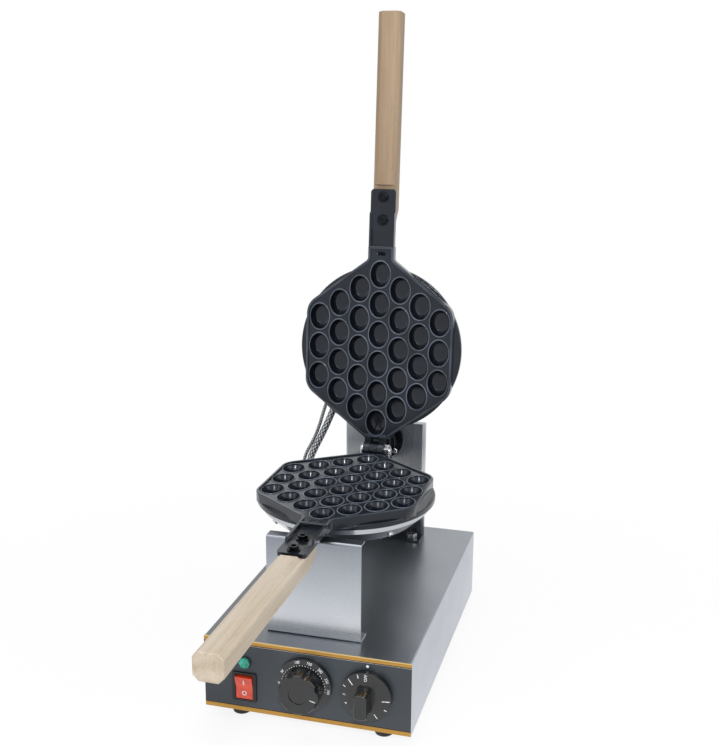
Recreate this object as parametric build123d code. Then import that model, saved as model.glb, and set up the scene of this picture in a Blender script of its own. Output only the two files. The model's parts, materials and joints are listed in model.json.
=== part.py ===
from build123d import *
import math
import os

# Bubble waffle maker, millimetres. X to the right, Y to the rear, Z up, floor at z = 0.
# The origin is the centre of the whole plan, handle end to cord gland, on the floor.

# Housing
housing_width = 210.0
housing_length = 335.0
housing_height = 76.5
housing_sheet = 1.2
housing_bend = 2.0
bottom_lip = 14.0
bottom_plate_thickness = 1.5
bottom_plate_play = 0.5
bottom_screw_inset = 8.0
bottom_screw_thread = 4.0
bottom_screw_head = 7.5
bottom_screw_head_height = 2.4
vent_slot_length = 42.0
vent_slot_width = 4.0
vent_slot_pitch = 12.0
vent_slot_count = 7

# Rubber feet
foot_height = 12.0
foot_top_diameter = 22.0
foot_bottom_diameter = 18.0
foot_inset_x = 31.0
foot_inset_y = 20.0
foot_recess_diameter = 10.0
foot_recess_depth = 6.5
foot_screw_thread = 4.0
foot_screw_head = 8.0
foot_screw_head_height = 3.0
foot_nut_across = 7.0
foot_nut_height = 3.2

# Control panel and its controls, heights above the housing's lower edge
panel_thickness = 0.8
temperature_x = 0.0
temperature_height = 40.6
temperature_skirt_diameter = 54.6
temperature_skirt_side = 4.5
temperature_skirt_thickness = 7.0
temperature_knob_diameter = 40.6
temperature_knob_round = 1.5
temperature_crown_width = 1.0
temperature_knob_reach = 24.5
temperature_flute_count = 8
temperature_flute_diameter = 13.0
temperature_flute_depth = 1.8
temperature_dish_diameter = 19.0
temperature_dish_depth = 0.8
timer_inset = 43.0
timer_height = 39.3
timer_skirt_diameter = 50.2
timer_skirt_side = 6.5
timer_skirt_thickness = 9.5
timer_skirt_crown = 27.0
timer_bar_foot = (14.6, 28.0)
timer_bar_face = (12.2, 24.8)
timer_bar_corner = 3.5
timer_bar_edge = 1.2
timer_bar_reach = 28.5
dial_gap = 0.6
spindle_diameter = 6.0
spindle_share = 0.6
spindle_play = 0.05
spindle_flat = 1.5
bushing_diameter = 10.0
bushing_play = 0.2
thermostat_size = (38.0, 30.0, 44.0)
timer_body_diameter = 46.0
timer_body_depth = 38.0
switch_inset = 42.0
switch_height = 27.0
switch_bezel_width = 25.0
switch_bezel_height = 30.5
switch_bezel_thickness = 2.0
switch_body_width = 21.6
switch_body_height = 27.6
switch_body_depth = 24.0
rocker_width = 17.6
rocker_height = 24.6
rocker_play = 0.35
rocker_swing = 16.0
rocker_pivot_depth = 3.0
rocker_pin_diameter = 3.0
lamp_inset = 43.0
lamp_height = 53.3
lamp_lens_diameter = 11.5
lamp_lens_reach = 5.0
lamp_flange_diameter = 12.5
lamp_flange_thickness = 1.2
lamp_body_diameter = 9.0
lamp_body_length = 24.0
lamp_nut_across = 12.0
lamp_nut_height = 3.0
terminal_size = (46.0, 20.0, 18.0)
terminal_pole_count = 4
terminal_setback = 60.0

# Inlet gland of the power cord, low on the rear wall
inlet_inset = 43.0
inlet_height = 30.0
inlet_bore = 8.0
inlet_thread = 16.0
inlet_across = 22.0
inlet_reach = 20.0

# Front stand, a bent sheet
stand_width = 96.0
stand_setback = 25.8
stand_sheet = 1.5
stand_bend = 2.5
stand_top_flange = 13.0
stand_foot_flange = 20.0
stand_screw_spacing = 64.0
stand_screw_thread = 4.0
stand_screw_head = 8.0
stand_screw_head_height = 2.8
swing_gap = 0.5

# Pans. Depths are measured down from the face where the two pans meet.
meeting_height = 196.6
plate_setback = 139.6
face_gap = 0.2
plate_half_width = 85.0
plate_shoulder = 48.0
plate_half_length = 103.0
plate_thickness = 17.5
plate_corner = 22.0
plate_end_corner = 3.0
plate_edge_break = 0.8
slab_depth = 10.6
lip_width = 2.6
lip_height = 1.6
flange_diameter = 187.2
flange_depth = 9.6
flange_thickness = 5.6
flange_round = 1.2
back_diameter = 168.0
boss_width = 24.0
boss_inner = 78.0
boss_end = 100.2
cell_columns = (3, 4, 5, 6, 5, 4, 3)
cell_pitch = 33.9
column_pitch = 23.2
cell_half_width = 11.7
cell_half_length = 15.1
cell_depth = 12.2
cell_floor_share = 0.70
neck_width = 29.3
neck_end = 116.0
neck_start = 101.0
neck_fillet = 5.0
neck_corner = 1.5
neck_recess_width = 10.0
neck_recess_length = 4.6
neck_recess_depth = 3.0
neck_recess_reach = 108.0
tang_width = 28.6
tang_length = 63.0
tang_depth = 8.6
tang_rail = 2.6
tang_rail_reach = 155.0
tang_rail_slope = 3.0
tang_corner = 4.0
tang_drop = 0.6
tang_floor = 4.0
open_angle = 94.9

# Wooden grips
grip_width = 26.0
grip_depth = 25.0
grip_chamfer = 5.0
grip_start = 183.5
grip_reach = 369.0
grip_drop = 5.0
grip_inner_reach = 141.0
grip_inner_depth = 13.0
grip_slope_reach = 163.0
grip_end_round = 1.5
grip_screw_reaches = (145.0, 170.5)
grip_screw_thread = 5.0
grip_screw_depth = 15.0
grip_screw_flange = 12.5
grip_screw_flange_height = 1.2
grip_screw_across = 8.6
grip_screw_head_height = 4.3
grip_screw_socket = 5.0
grip_screw_socket_depth = 2.2

# Heater, insulation and dish cover behind each pan
heater_ring_diameter = 116.0
heater_tube = 7.0
heater_open_angle = 28.0
insulation_diameter = 104.0
cover_sheet = 1.0
cover_rim_diameter = 176.0
cover_shoulder_diameter = 146.0
cover_shoulder_depth = 35.5
cover_face_diameter = 112.0
cover_rim_height = 6.5
cover_round = 6.0
cover_depth = 41.0
cover_screw_radius = 79.0
cover_screw_angle = 40.0
cover_screw_head = 6.0
cover_screw_head_height = 1.8
cover_screw_thread = 3.0
cover_screw_length = 17.5

# Hinge between the pans and the yoke that carries them
hinge_reach = 115.9
knuckle_radius = 9.0
pin_diameter = 8.0
pin_play = 0.05
lug_inner = 5.0
lug_outer = 12.0
lug_root = 18.0
tongue_half = 4.7
lug_stop_height = 12.8
stop_gap = 0.3
pin_head_diameter = 13.0
pin_head_height = 3.8
pin_nut_across = 13.0
pin_nut_height = 5.8
pad_width = 28.0
pad_end = 105.8
pad_top_depth = 3.0
yoke_width = 28.0
yoke_block_length = 13.0
yoke_top = 10.0
yoke_ledge_depth = 10.0
yoke_ledge_start = 94.8
yoke_bolt_spacing = 15.0
yoke_bolt_reach = 100.2
yoke_bolt_thread = 5.0
yoke_bolt_across = 8.0
yoke_bolt_head_height = 3.6
yoke_disc_diameter = 34.0
yoke_disc_thickness = 11.5

# Rear post, bearing and turning shaft
post_width = 96.0
post_setback = 303.0
post_depth = 9.0
post_rise = 140.5
post_sheet = 2.0
post_bend = 3.0
post_foot = 20.0
post_bolt_spacing = 74.0
post_bolt_inset = 10.0
post_bolt_thread = 6.0
post_bolt_across = 11.0
post_bolt_head_height = 5.5
post_lip = 12.0
back_cover_screw_thread = 4.0
back_cover_screw_head = 7.5
back_cover_screw_head_height = 2.4
shaft_diameter = 18.0
shaft_play = 0.05
shaft_thread = 14.0
shaft_nut_across = 22.0
shaft_nut_height = 8.0
shaft_washer_diameter = 28.0
shaft_washer_thickness = 2.0
bush_wall = 2.0
bush_length = 10.0
bearing_tube_diameter = 30.0
bearing_tube_play = 0.1
bearing_tube_overhang = 19.0
bearing_flange_diameter = 46.0
bearing_flange_thickness = 4.0
bearing_screw_pcd = 38.0
bearing_screw_thread = 4.0
bearing_screw_head = 6.5
bearing_screw_head_height = 2.2
thrust_gap = 0.1

# Conduits: each leaves its pan through a gland on the cover's slope, low on the left
conduit_diameter = 8.0
conduit_gland_thread = 10.0
conduit_gland_collar = 13.0
conduit_gland_spot = (-54.0, 65.0)
conduit_gland_heading = (-0.357, 0.934)
conduit_gland_depth = 30.5
conduit_gland_length = 15.0
sleeve_diameter = 4.0
sleeve_gland_thread = 6.0
sleeve_gland_collar = 8.0
sleeve_gland_spot = (-64.0, 62.0)
sleeve_gland_heading = (-0.3, 0.954)
sleeve_gland_depth = 25.6
sleeve_gland_length = 7.0
top_gland_across = 15.0
top_gland_reach = 13.0
top_sleeve_gland_across = 9.0
top_sleeve_gland_reach = 11.0
top_gland_spots = ((-92.0, -10.5), (-68.0, -43.0))
top_sleeve_gland_spot = (-95.5, -26.0)
bracket_sheet = 2.0
bracket_height = 9.0
bracket_screw_spacing = 16.0
bracket_screw_thread = 4.0
bracket_screw_head = 7.0
bracket_screw_head_height = 2.2
saddle_height = 8.0
saddle_wall = 1.3
saddle_drop = 46.6
saddle_x = -89.5
sleeve_saddle_x = -97.5
gland_run = 18.0
saddle_run = 16.0
conduit_saddle_run = 14.0
upper_conduit_run = 20.0
lower_conduit_run = 24.0
upper_conduit_bends = ((-72.5, -17.5, 2.4), (-82.0, -16.0, -15.6))
sleeve_bends = ((-74.5, -20.0, 15.4), (-82.5, -16.0, -3.6))
lower_conduit_bends = ((-68.0, -54.0, -38.6), (-70.0, -44.0, -63.6))

# Places worked out from the sizes above
handle_overhang = grip_reach - plate_setback
plan_length = handle_overhang + housing_length + inlet_reach
front = handle_overhang - plan_length / 2
timer_x = housing_width / 2 - timer_inset
switch_x = switch_inset - housing_width / 2
lamp_x = lamp_inset - housing_width / 2
inlet_x = housing_width / 2 - inlet_inset
rear = front + housing_length
floor_of_housing = foot_height
housing_top = foot_height + housing_height
wall_front = front + panel_thickness
meeting_z = foot_height + meeting_height
plate_y = front + plate_setback
pin_y = plate_y + hinge_reach
post_y = front + post_setback
post_back = post_y + post_depth
post_top = housing_top + post_rise
web_depth = face_gap + lip_height
swing_radius = math.hypot(neck_width / 2, slab_depth)
stand_top = meeting_z - swing_radius - swing_gap
yoke_face = hinge_reach + lug_stop_height + stop_gap
yoke_disc_back = yoke_face + yoke_block_length + yoke_disc_thickness
bearing_face = plate_y + yoke_disc_back + thrust_gap
flange_back = flange_depth + flange_thickness
yoke_block_end = plate_y + yoke_face + yoke_block_length
saddle_y = yoke_block_end + bracket_sheet + saddle_wall + conduit_diameter / 2
saddle_z = meeting_z - saddle_drop
open_turn = math.radians(open_angle)


def hexagon(across, height):
    """A hexagonal prism standing on the XY plane."""
    return extrude(RegularPolygon(across / 2, 6, major_radius=False), height)


def screw(thread, length, head, head_height):
    """A pan-head screw: the head sits on z = 0, the thread points down."""
    cap = Cylinder(head / 2, head_height, align=(Align.CENTER, Align.CENTER, Align.MIN))
    cap = fillet(cap.edges().sort_by(Axis.Z)[-1], head_height * 0.45)
    return cap + Cylinder(thread / 2, length, align=(Align.CENTER, Align.CENTER, Align.MAX))


def hex_bolt(thread, length, across, head_height):
    """A hexagon-head bolt: the head sits on z = 0, the thread points down."""
    return hexagon(across, head_height) + Cylinder(
        thread / 2, length, align=(Align.CENTER, Align.CENTER, Align.MAX))


def nut(thread, across, height):
    return hexagon(across, height) - Cylinder(
        thread / 2, height, align=(Align.CENTER, Align.CENTER, Align.MIN))


def lower_place(shape):
    """Puts a shape from the pan's own frame into the lower pan's place."""
    return Pos(0, plate_y, meeting_z) * shape


def upper_place(shape):
    """Mirrors a shape from the pan's own frame and opens it about the hinge pin."""
    flipped = mirror(shape, about=Plane.XY)
    return Pos(0, pin_y, meeting_z) * Rot(-open_angle, 0, 0) * Pos(0, -hinge_reach, 0) * flipped


def box_between(low, high):
    size = [b - a for a, b in zip(low, high)]
    return Pos(*low) * Box(*size, align=(Align.MIN, Align.MIN, Align.MIN))


def along_y(shape):
    """Turns a shape that stands on z = 0 so that it points to the front, along -Y."""
    return Rot(90, 0, 0) * shape


# Housing and what is fixed to it
def housing():
    outer = box_between(
        (-housing_width / 2, wall_front, floor_of_housing),
        (housing_width / 2, rear, housing_top))
    rounded = outer.edges().filter_by(Axis.Y).group_by(Axis.Z)[-1]
    rounded += outer.edges().filter_by(Axis.Z).group_by(Axis.Y)[-1]
    outer = fillet(rounded, housing_bend)
    lip_z = floor_of_housing + bottom_plate_thickness
    inner = box_between(
        (-housing_width / 2 + housing_sheet, wall_front + housing_sheet, lip_z + housing_sheet),
        (housing_width / 2 - housing_sheet, rear - housing_sheet, housing_top - housing_sheet))
    mouth = box_between(
        (-housing_width / 2 + bottom_lip, wall_front + bottom_lip, floor_of_housing),
        (housing_width / 2 - bottom_lip, rear - bottom_lip, housing_top / 2))
    seat = box_between(
        (-housing_width / 2 + housing_sheet, wall_front + housing_sheet, floor_of_housing),
        (housing_width / 2 - housing_sheet, rear - housing_sheet, lip_z))
    shell = outer - inner - mouth - seat
    shell -= control_cuts(wall_front, housing_sheet)
    shell -= Pos(inlet_x, rear, floor_of_housing + inlet_height) * Rot(90, 0, 0) * Cylinder(
        inlet_thread / 2 + bushing_play, 4 * housing_sheet)
    for x, y in bottom_screw_places():
        shell -= Pos(x, y, lip_z) * Cylinder(bottom_screw_thread / 2, 4 * housing_sheet)
    for x, y, radius in top_holes():
        shell -= Pos(x, y, housing_top) * Cylinder(radius, 4 * housing_sheet)
    return shell


def control_cuts(y, thickness):
    """The holes that the controls need through the front wall or the panel."""
    depth = 4 * thickness
    cuts = []
    for x, height in ((temperature_x, temperature_height), (timer_x, timer_height)):
        cuts.append(Pos(x, y, floor_of_housing + height) * Rot(90, 0, 0) * Cylinder(
            bushing_diameter / 2 + bushing_play, depth))
    cuts.append(Pos(lamp_x, y, floor_of_housing + lamp_height) * Rot(90, 0, 0) * Cylinder(
        lamp_body_diameter / 2 + bushing_play, depth))
    cuts.append(Pos(switch_x, y, floor_of_housing + switch_height) * Box(
        switch_body_width + 2 * bushing_play, depth, switch_body_height + 2 * bushing_play))
    return cuts


def bottom_screw_places():
    x = housing_width / 2 - bottom_screw_inset
    ys = (wall_front + bottom_screw_inset, (wall_front + rear) / 2, rear - bottom_screw_inset)
    return [(side * x, y) for side in (-1, 1) for y in ys]


def foot_places():
    x = housing_width / 2 - foot_inset_x
    return [(side * x, y) for side in (-1, 1) for y in (front + foot_inset_y, rear - foot_inset_y)]


def stand_screw_places():
    y = front + stand_setback + stand_foot_flange * 0.6
    return [(side * stand_screw_spacing / 2, y) for side in (-1, 1)]


def post_bolt_places():
    y = post_y - post_foot + post_bolt_inset
    return [(side * post_bolt_spacing / 2, y) for side in (-1, 1)]


def top_holes():
    """Screw holes in the housing's top sheet, and the supply conduit's hole."""
    holes = [(x, y, stand_screw_thread / 2) for x, y in stand_screw_places()]
    holes += [(x, y, post_bolt_thread / 2) for x, y in post_bolt_places()]
    holes += [(x, post_y + y, conduit_gland_thread / 2) for x, y in top_gland_spots]
    x, y = top_sleeve_gland_spot
    holes.append((x, post_y + y, sleeve_gland_thread / 2))
    return holes


def bottom_plate():
    edge = housing_sheet + bottom_plate_play
    plate = box_between(
        (-housing_width / 2 + edge, wall_front + edge, floor_of_housing),
        (housing_width / 2 - edge, rear - edge, floor_of_housing + bottom_plate_thickness))
    for x, y in bottom_screw_places():
        plate -= Pos(x, y, floor_of_housing) * Cylinder(bottom_screw_thread / 2, 4 * bottom_plate_thickness)
    for x, y in foot_places():
        plate -= Pos(x, y, floor_of_housing) * Cylinder(foot_screw_thread / 2, 4 * bottom_plate_thickness)
    middle = (wall_front + rear) / 2
    for row in (-1, 1):
        for i in range(vent_slot_count):
            y = middle + (i - (vent_slot_count - 1) / 2) * vent_slot_pitch
            slot = extrude(SlotOverall(vent_slot_length, vent_slot_width), 9.0, both=True)
            plate -= Pos(row * (vent_slot_length / 2 + vent_slot_pitch), y, floor_of_housing) * slot
    return plate


def bottom_plate_screws():
    one = screw(
        bottom_screw_thread, bottom_plate_thickness + 3 * housing_sheet,
        bottom_screw_head, bottom_screw_head_height)
    return [Pos(x, y, floor_of_housing) * Rot(180, 0, 0) * one for x, y in bottom_screw_places()]


def rubber_feet():
    foot = Solid.make_cone(foot_bottom_diameter / 2, foot_top_diameter / 2, foot_height)
    foot = fillet(foot.edges().group_by(Axis.Z)[0], 1.5)
    foot -= Cylinder(foot_recess_diameter / 2, 2 * foot_recess_depth)
    foot -= Cylinder(foot_screw_thread / 2, 3 * foot_height)
    return [Pos(x, y, 0) * foot for x, y in foot_places()]


def foot_screws():
    length = foot_height - foot_recess_depth + bottom_plate_thickness + foot_nut_height + 1.0
    one = screw(foot_screw_thread, length, foot_screw_head, foot_screw_head_height)
    return [Pos(x, y, foot_recess_depth) * Rot(180, 0, 0) * one for x, y in foot_places()]


def foot_nuts():
    one = nut(foot_screw_thread, foot_nut_across, foot_nut_height)
    return [Pos(x, y, floor_of_housing + bottom_plate_thickness) * one for x, y in foot_places()]


def front_panel():
    plate = box_between(
        (-housing_width / 2, front, floor_of_housing),
        (housing_width / 2, front + panel_thickness, housing_top))
    return plate - control_cuts(front, panel_thickness)


def terminal_block():
    width, depth, height = terminal_size
    block = Box(width, depth, height, align=(Align.CENTER, Align.CENTER, Align.MIN))
    pitch = width / terminal_pole_count
    for i in range(terminal_pole_count):
        x = (i - (terminal_pole_count - 1) / 2) * pitch
        block -= Pos(x, 0, height) * Cylinder(pitch * 0.28, height * 0.8)
        block -= Pos(x, 0, height * 0.4) * Rot(90, 0, 0) * Cylinder(pitch * 0.2, depth * 2)
    place = Pos(inlet_x, rear - terminal_setback, floor_of_housing + bottom_plate_thickness)
    return place * block


def inlet_gland():
    z = floor_of_housing + inlet_height
    dome = Solid.make_cone(inlet_thread / 2 + 1.5, inlet_bore / 2 + 2.5, inlet_reach * 0.6)
    body = Pos(0, 0, inlet_reach * 0.4) * dome
    body += hexagon(inlet_across, inlet_reach * 0.4)
    inside = 3 * housing_sheet + 6.0
    body += Cylinder(inlet_thread / 2, inside, align=(Align.CENTER, Align.CENTER, Align.MAX))
    body += Pos(0, 0, -housing_sheet - 5.0) * nut(inlet_thread, inlet_across, 5.0)
    body -= Cylinder(inlet_bore / 2, 4 * inlet_reach)
    return Pos(inlet_x, rear, z) * Rot(-90, 0, 0) * body


# Controls
def switch_body():
    bezel = Box(switch_bezel_width, switch_bezel_height, switch_bezel_thickness,
                align=(Align.CENTER, Align.CENTER, Align.MIN))
    bezel = fillet(bezel.edges().filter_by(Axis.Z), 1.5)
    body = bezel + Box(switch_body_width, switch_body_height, switch_body_depth,
                       align=(Align.CENTER, Align.CENTER, Align.MAX))
    pocket_depth = rocker_pivot_depth + rocker_height / 2 * 0.75
    body -= Pos(0, 0, switch_bezel_thickness) * Box(
        rocker_width + 2 * rocker_play, rocker_height + 6 * rocker_play,
        2 * (pocket_depth + switch_bezel_thickness))
    body -= Pos(0, 0, -rocker_pivot_depth) * Rot(0, 90, 0) * Cylinder(
        rocker_pin_diameter / 2 + spindle_play, switch_body_width - 1.0)
    for side in (-1, 1):
        body += Pos(side * 5, 0, -switch_body_depth) * Box(
            0.8, 6.3, 8.0, align=(Align.CENTER, Align.CENTER, Align.MAX))
    return Pos(switch_x, front, floor_of_housing + switch_height) * along_y(body)


def power_rocker():
    """The paddle, tilted to its rest: half its face stands out of the bezel."""
    half = rocker_height / 2
    centre = rocker_pivot_depth + 1.4
    tip = centre + half * math.tan(math.radians(rocker_swing / 2))
    outline = Polyline(
        (0, centre), (half, tip), (half * 0.84, -rocker_pivot_depth), (0, -half * 0.55),
        (-half * 0.84, -rocker_pivot_depth), (-half, tip), close=True)
    profile = make_face(Plane.YZ * outline)
    paddle = extrude(profile, rocker_width / 2, both=True)
    paddle += Rot(0, 90, 0) * Cylinder(rocker_pin_diameter / 2, switch_body_width - 1.4)
    tilted = Rot(rocker_swing / 2, 0, 0) * paddle
    place = Pos(switch_x, front + rocker_pivot_depth, floor_of_housing + switch_height)
    return place * along_y(tilted)


def lamp_body():
    body = Cylinder(lamp_flange_diameter / 2, lamp_flange_thickness,
                    align=(Align.CENTER, Align.CENTER, Align.MIN))
    body += Cylinder(lamp_body_diameter / 2, lamp_body_length,
                     align=(Align.CENTER, Align.CENTER, Align.MAX))
    body -= Pos(0, 0, lamp_flange_thickness) * Cylinder(lamp_body_diameter / 2 - 1.2, 8.0)
    return Pos(lamp_x, front, floor_of_housing + lamp_height) * along_y(body)


def lamp_lens():
    sides = 8
    ring = Plane.XY.offset(lamp_lens_reach * 0.45) * RegularPolygon(lamp_lens_diameter / 2, sides)
    top = Plane.XY.offset(lamp_lens_reach) * RegularPolygon(lamp_lens_diameter * 0.22, sides)
    foot = RegularPolygon(lamp_lens_diameter / 2, sides)
    lens = extrude(foot, lamp_lens_reach * 0.45) + loft([ring, top])
    place = Pos(lamp_x, front - lamp_flange_thickness, floor_of_housing + lamp_height)
    return place * along_y(lens)


def lamp_nut():
    z = -panel_thickness - housing_sheet - lamp_nut_height
    ring = Pos(0, 0, z) * nut(lamp_body_diameter, lamp_nut_across, lamp_nut_height)
    return Pos(lamp_x, front, floor_of_housing + lamp_height) * along_y(ring)


def control_bushing(body):
    """Adds the threaded bushing that passes the panel, bored for its spindle."""
    reach = panel_thickness + housing_sheet + 0.4
    part = body + Cylinder(bushing_diameter / 2, reach, align=(Align.CENTER, Align.CENTER, Align.MIN))
    return part - Cylinder(spindle_diameter / 2 + spindle_play, 24.0)


def thermostat_body():
    width, depth, height = thermostat_size
    box = Box(width, height, depth, align=(Align.CENTER, Align.CENTER, Align.MAX))
    box = fillet(box.edges().filter_by(Axis.Z), 3.0)
    back = Pos(0, 0, -depth) * Box(
        width * 0.7, height * 0.5, 8.0, align=(Align.CENTER, Align.CENTER, Align.MAX))
    part = control_bushing(box + back)
    place = Pos(temperature_x, wall_front + housing_sheet, floor_of_housing + temperature_height)
    return place * along_y(part)


def timer_body():
    can = Cylinder(timer_body_diameter / 2, timer_body_depth, align=(Align.CENTER, Align.CENTER, Align.MAX))
    can = fillet(can.edges().group_by(Axis.Z)[0], 2.0)
    part = control_bushing(can)
    place = Pos(timer_x, wall_front + housing_sheet, floor_of_housing + timer_height)
    return place * along_y(part)


def spindle(x, height, reach):
    """A spindle with a flat, from inside the control to inside the knob."""
    length = reach + panel_thickness + housing_sheet + 10.0
    rod = Cylinder(spindle_diameter / 2, length, align=(Align.CENTER, Align.CENTER, Align.MAX))
    rod = Pos(0, 0, reach) * rod
    flat = Pos(0, spindle_diameter / 2 - spindle_flat / 2, reach) * Box(
        spindle_diameter, spindle_flat, 2 * (reach - dial_gap))
    return Pos(x, front, floor_of_housing + height) * along_y(rod - flat)


def spindle_hole(reach):
    rod = Cylinder(spindle_diameter / 2, reach, align=(Align.CENTER, Align.CENTER, Align.MIN))
    flat = Pos(0, spindle_diameter / 2 - spindle_flat / 2, 0) * Box(
        spindle_diameter, spindle_flat, 2 * reach)
    return rod - flat


def dial_skirt(diameter, side, crown, thickness):
    """A straight rim against the panel, then a cone that carries the printed scale."""
    rim = Cylinder(diameter / 2, side, align=(Align.CENTER, Align.CENTER, Align.MIN))
    cone = Solid.make_cone(diameter / 2, crown / 2, thickness - side)
    return rim + Pos(0, 0, side) * cone


def temperature_dial():
    skirt = dial_skirt(
        temperature_skirt_diameter, temperature_skirt_side,
        temperature_knob_diameter + 2 * temperature_crown_width, temperature_skirt_thickness)
    knob = Cylinder(temperature_knob_diameter / 2, temperature_knob_reach - dial_gap,
                    align=(Align.CENTER, Align.CENTER, Align.MIN))
    knob = fillet(knob.edges().group_by(Axis.Z)[-1], temperature_knob_round)
    centre = (temperature_knob_diameter + temperature_flute_diameter) / 2 - temperature_flute_depth
    flutes = []
    for i in range(temperature_flute_count):
        angle = 360 / temperature_flute_count * (i + 0.5)
        flutes.append(Rot(0, 0, angle) * Pos(centre, 0, temperature_skirt_thickness) * Cylinder(
            temperature_flute_diameter / 2, temperature_knob_reach,
            align=(Align.CENTER, Align.CENTER, Align.MIN)))
    dial = skirt + (knob - flutes)
    dial -= Pos(0, 0, temperature_knob_reach - dial_gap) * Cylinder(
        temperature_dish_diameter / 2, 2 * temperature_dish_depth)
    dial -= spindle_hole(temperature_knob_reach * spindle_share)
    place = Pos(temperature_x, front - dial_gap, floor_of_housing + temperature_height)
    return place * along_y(dial)


def timer_dial():
    skirt = dial_skirt(timer_skirt_diameter, timer_skirt_side, timer_skirt_crown, timer_skirt_thickness)
    foot = Plane.XY.offset(timer_skirt_side) * RectangleRounded(*timer_bar_foot, timer_bar_corner)
    face = Plane.XY.offset(timer_bar_reach - dial_gap) * RectangleRounded(*timer_bar_face, timer_bar_corner)
    bar = loft([foot, face])
    bar = fillet(bar.edges().group_by(Axis.Z)[-1], timer_bar_edge)
    dial = skirt + bar
    dial -= spindle_hole(timer_bar_reach * spindle_share)
    place = Pos(timer_x, front - dial_gap, floor_of_housing + timer_height)
    return place * along_y(dial)


# Front stand
def front_stand():
    y = front + stand_setback
    outer = box_between(
        (-stand_width / 2, y, housing_top), (stand_width / 2, y + stand_foot_flange, stand_top))
    outer = fillet(outer.edges().filter_by(Axis.X).group_by(Axis.Y)[0], stand_bend)
    inner = box_between(
        (-stand_width, y + stand_sheet, housing_top + stand_sheet),
        (stand_width, y + 2 * stand_foot_flange, stand_top - stand_sheet))
    inner = fillet(inner.edges().filter_by(Axis.X).group_by(Axis.Y)[0], stand_bend - stand_sheet)
    beyond = box_between(
        (-stand_width, y + stand_top_flange, housing_top + stand_sheet),
        (stand_width, y + 2 * stand_foot_flange, stand_top + stand_sheet))
    stand = outer - inner - beyond
    for x, hole_y in stand_screw_places():
        stand -= Pos(x, hole_y, housing_top) * Cylinder(stand_screw_thread / 2, 4 * stand_sheet)
    return stand


def stand_screws():
    length = stand_sheet + 4 * housing_sheet
    one = screw(stand_screw_thread, length, stand_screw_head, stand_screw_head_height)
    return [Pos(x, y, housing_top + stand_sheet) * one for x, y in stand_screw_places()]


# The two pans, in the pan's own frame: z = 0 is the meeting face, the pan lies below it
def plate_outline():
    """Six sides, with the neck towards the handle and a short end towards the hinge."""
    slope = (plate_half_width - neck_width / 2) / (neck_start - plate_shoulder)
    end_half_width = neck_width / 2 - (plate_half_length - neck_start) * slope
    left = (
        (-end_half_width, plate_half_length), (-plate_half_width, plate_shoulder),
        (-plate_half_width, -plate_shoulder), (-neck_width / 2, -neck_start),
        (-neck_width / 2, -neck_end))
    right = [(-x, y) for x, y in reversed(left)]
    face = make_face(Polyline(*left, *right, close=True))
    for low, high, radius in (
            (plate_shoulder - 1.0, plate_shoulder + 1.0, plate_corner),
            (neck_start - 1.0, neck_start + 1.0, neck_fillet),
            (neck_end - 1.0, neck_end + 1.0, neck_corner)):
        corners = [
            v for v in face.vertices()
            if low < abs(v.Y) < high and (v.Y < 0 or radius == plate_corner)]
        face = fillet(corners, radius)
    ends = [v for v in face.vertices() if v.Y > plate_half_length - 1.0]
    return fillet(ends, plate_end_corner)


def cell_places():
    places = []
    middle = (len(cell_columns) - 1) / 2
    for column, count in enumerate(cell_columns):
        for i in range(count):
            places.append(((column - middle) * column_pitch, (i - (count - 1) / 2) * cell_pitch))
    return places


def cell_cutter():
    """One oval cell: steep rounded walls on a smaller flat oval floor."""
    waist = (1 + cell_floor_share) / 2 + 0.11
    rings = (
        (0.0, 1.0), (0.55, waist), (1.0, cell_floor_share))
    faces = [
        Plane.XY.offset(-cell_depth * depth) * Ellipse(cell_half_width * share, cell_half_length * share)
        for depth, share in rings]
    clear = extrude(Ellipse(cell_half_width, cell_half_length), web_depth + 1.0)
    return loft(faces) + clear


def pan_casting():
    """What both pans share: cell plate with its neck, round flange and channel tang."""
    outline = plate_outline()
    slab = extrude(outline, -(slab_depth - face_gap))
    slab = Pos(0, 0, -face_gap) * slab
    slab = chamfer(slab.edges().group_by(Axis.Z)[-1], plate_edge_break)
    slab += Pos(0, 0, -plate_thickness) * Cylinder(
        back_diameter / 2, plate_thickness - flange_depth, align=(Align.CENTER, Align.CENTER, Align.MIN))
    flange = Pos(0, 0, -flange_back) * Cylinder(
        flange_diameter / 2, flange_thickness, align=(Align.CENTER, Align.CENTER, Align.MIN))
    flange = fillet(flange.edges().filter_by(GeomType.CIRCLE), flange_round)
    casting = slab + flange + tang() + end_bosses()
    inside = offset(outline, -lip_width, kind=Kind.INTERSECTION)
    casting -= Pos(0, 0, -web_depth) * extrude(inside, web_depth + 1.0)
    cutter = cell_cutter()
    casting -= [Pos(x, y, -web_depth) * cutter for x, y in cell_places()]
    recess = Pos(0, -neck_recess_reach, 0) * Box(
        neck_recess_width, neck_recess_length, 2 * neck_recess_depth)
    return casting - recess - cover_screw_shanks()


def end_bosses():
    """Blocks that close the bottoms of the two end cells, which reach past the round flange."""
    block = box_between(
        (-boss_width / 2, boss_inner, -flange_back), (boss_width / 2, boss_end, -flange_depth))
    block = fillet(block.edges().filter_by(Axis.Z).group_by(Axis.Y)[-1], plate_end_corner)
    return block + mirror(block, about=Plane.XZ)


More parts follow.
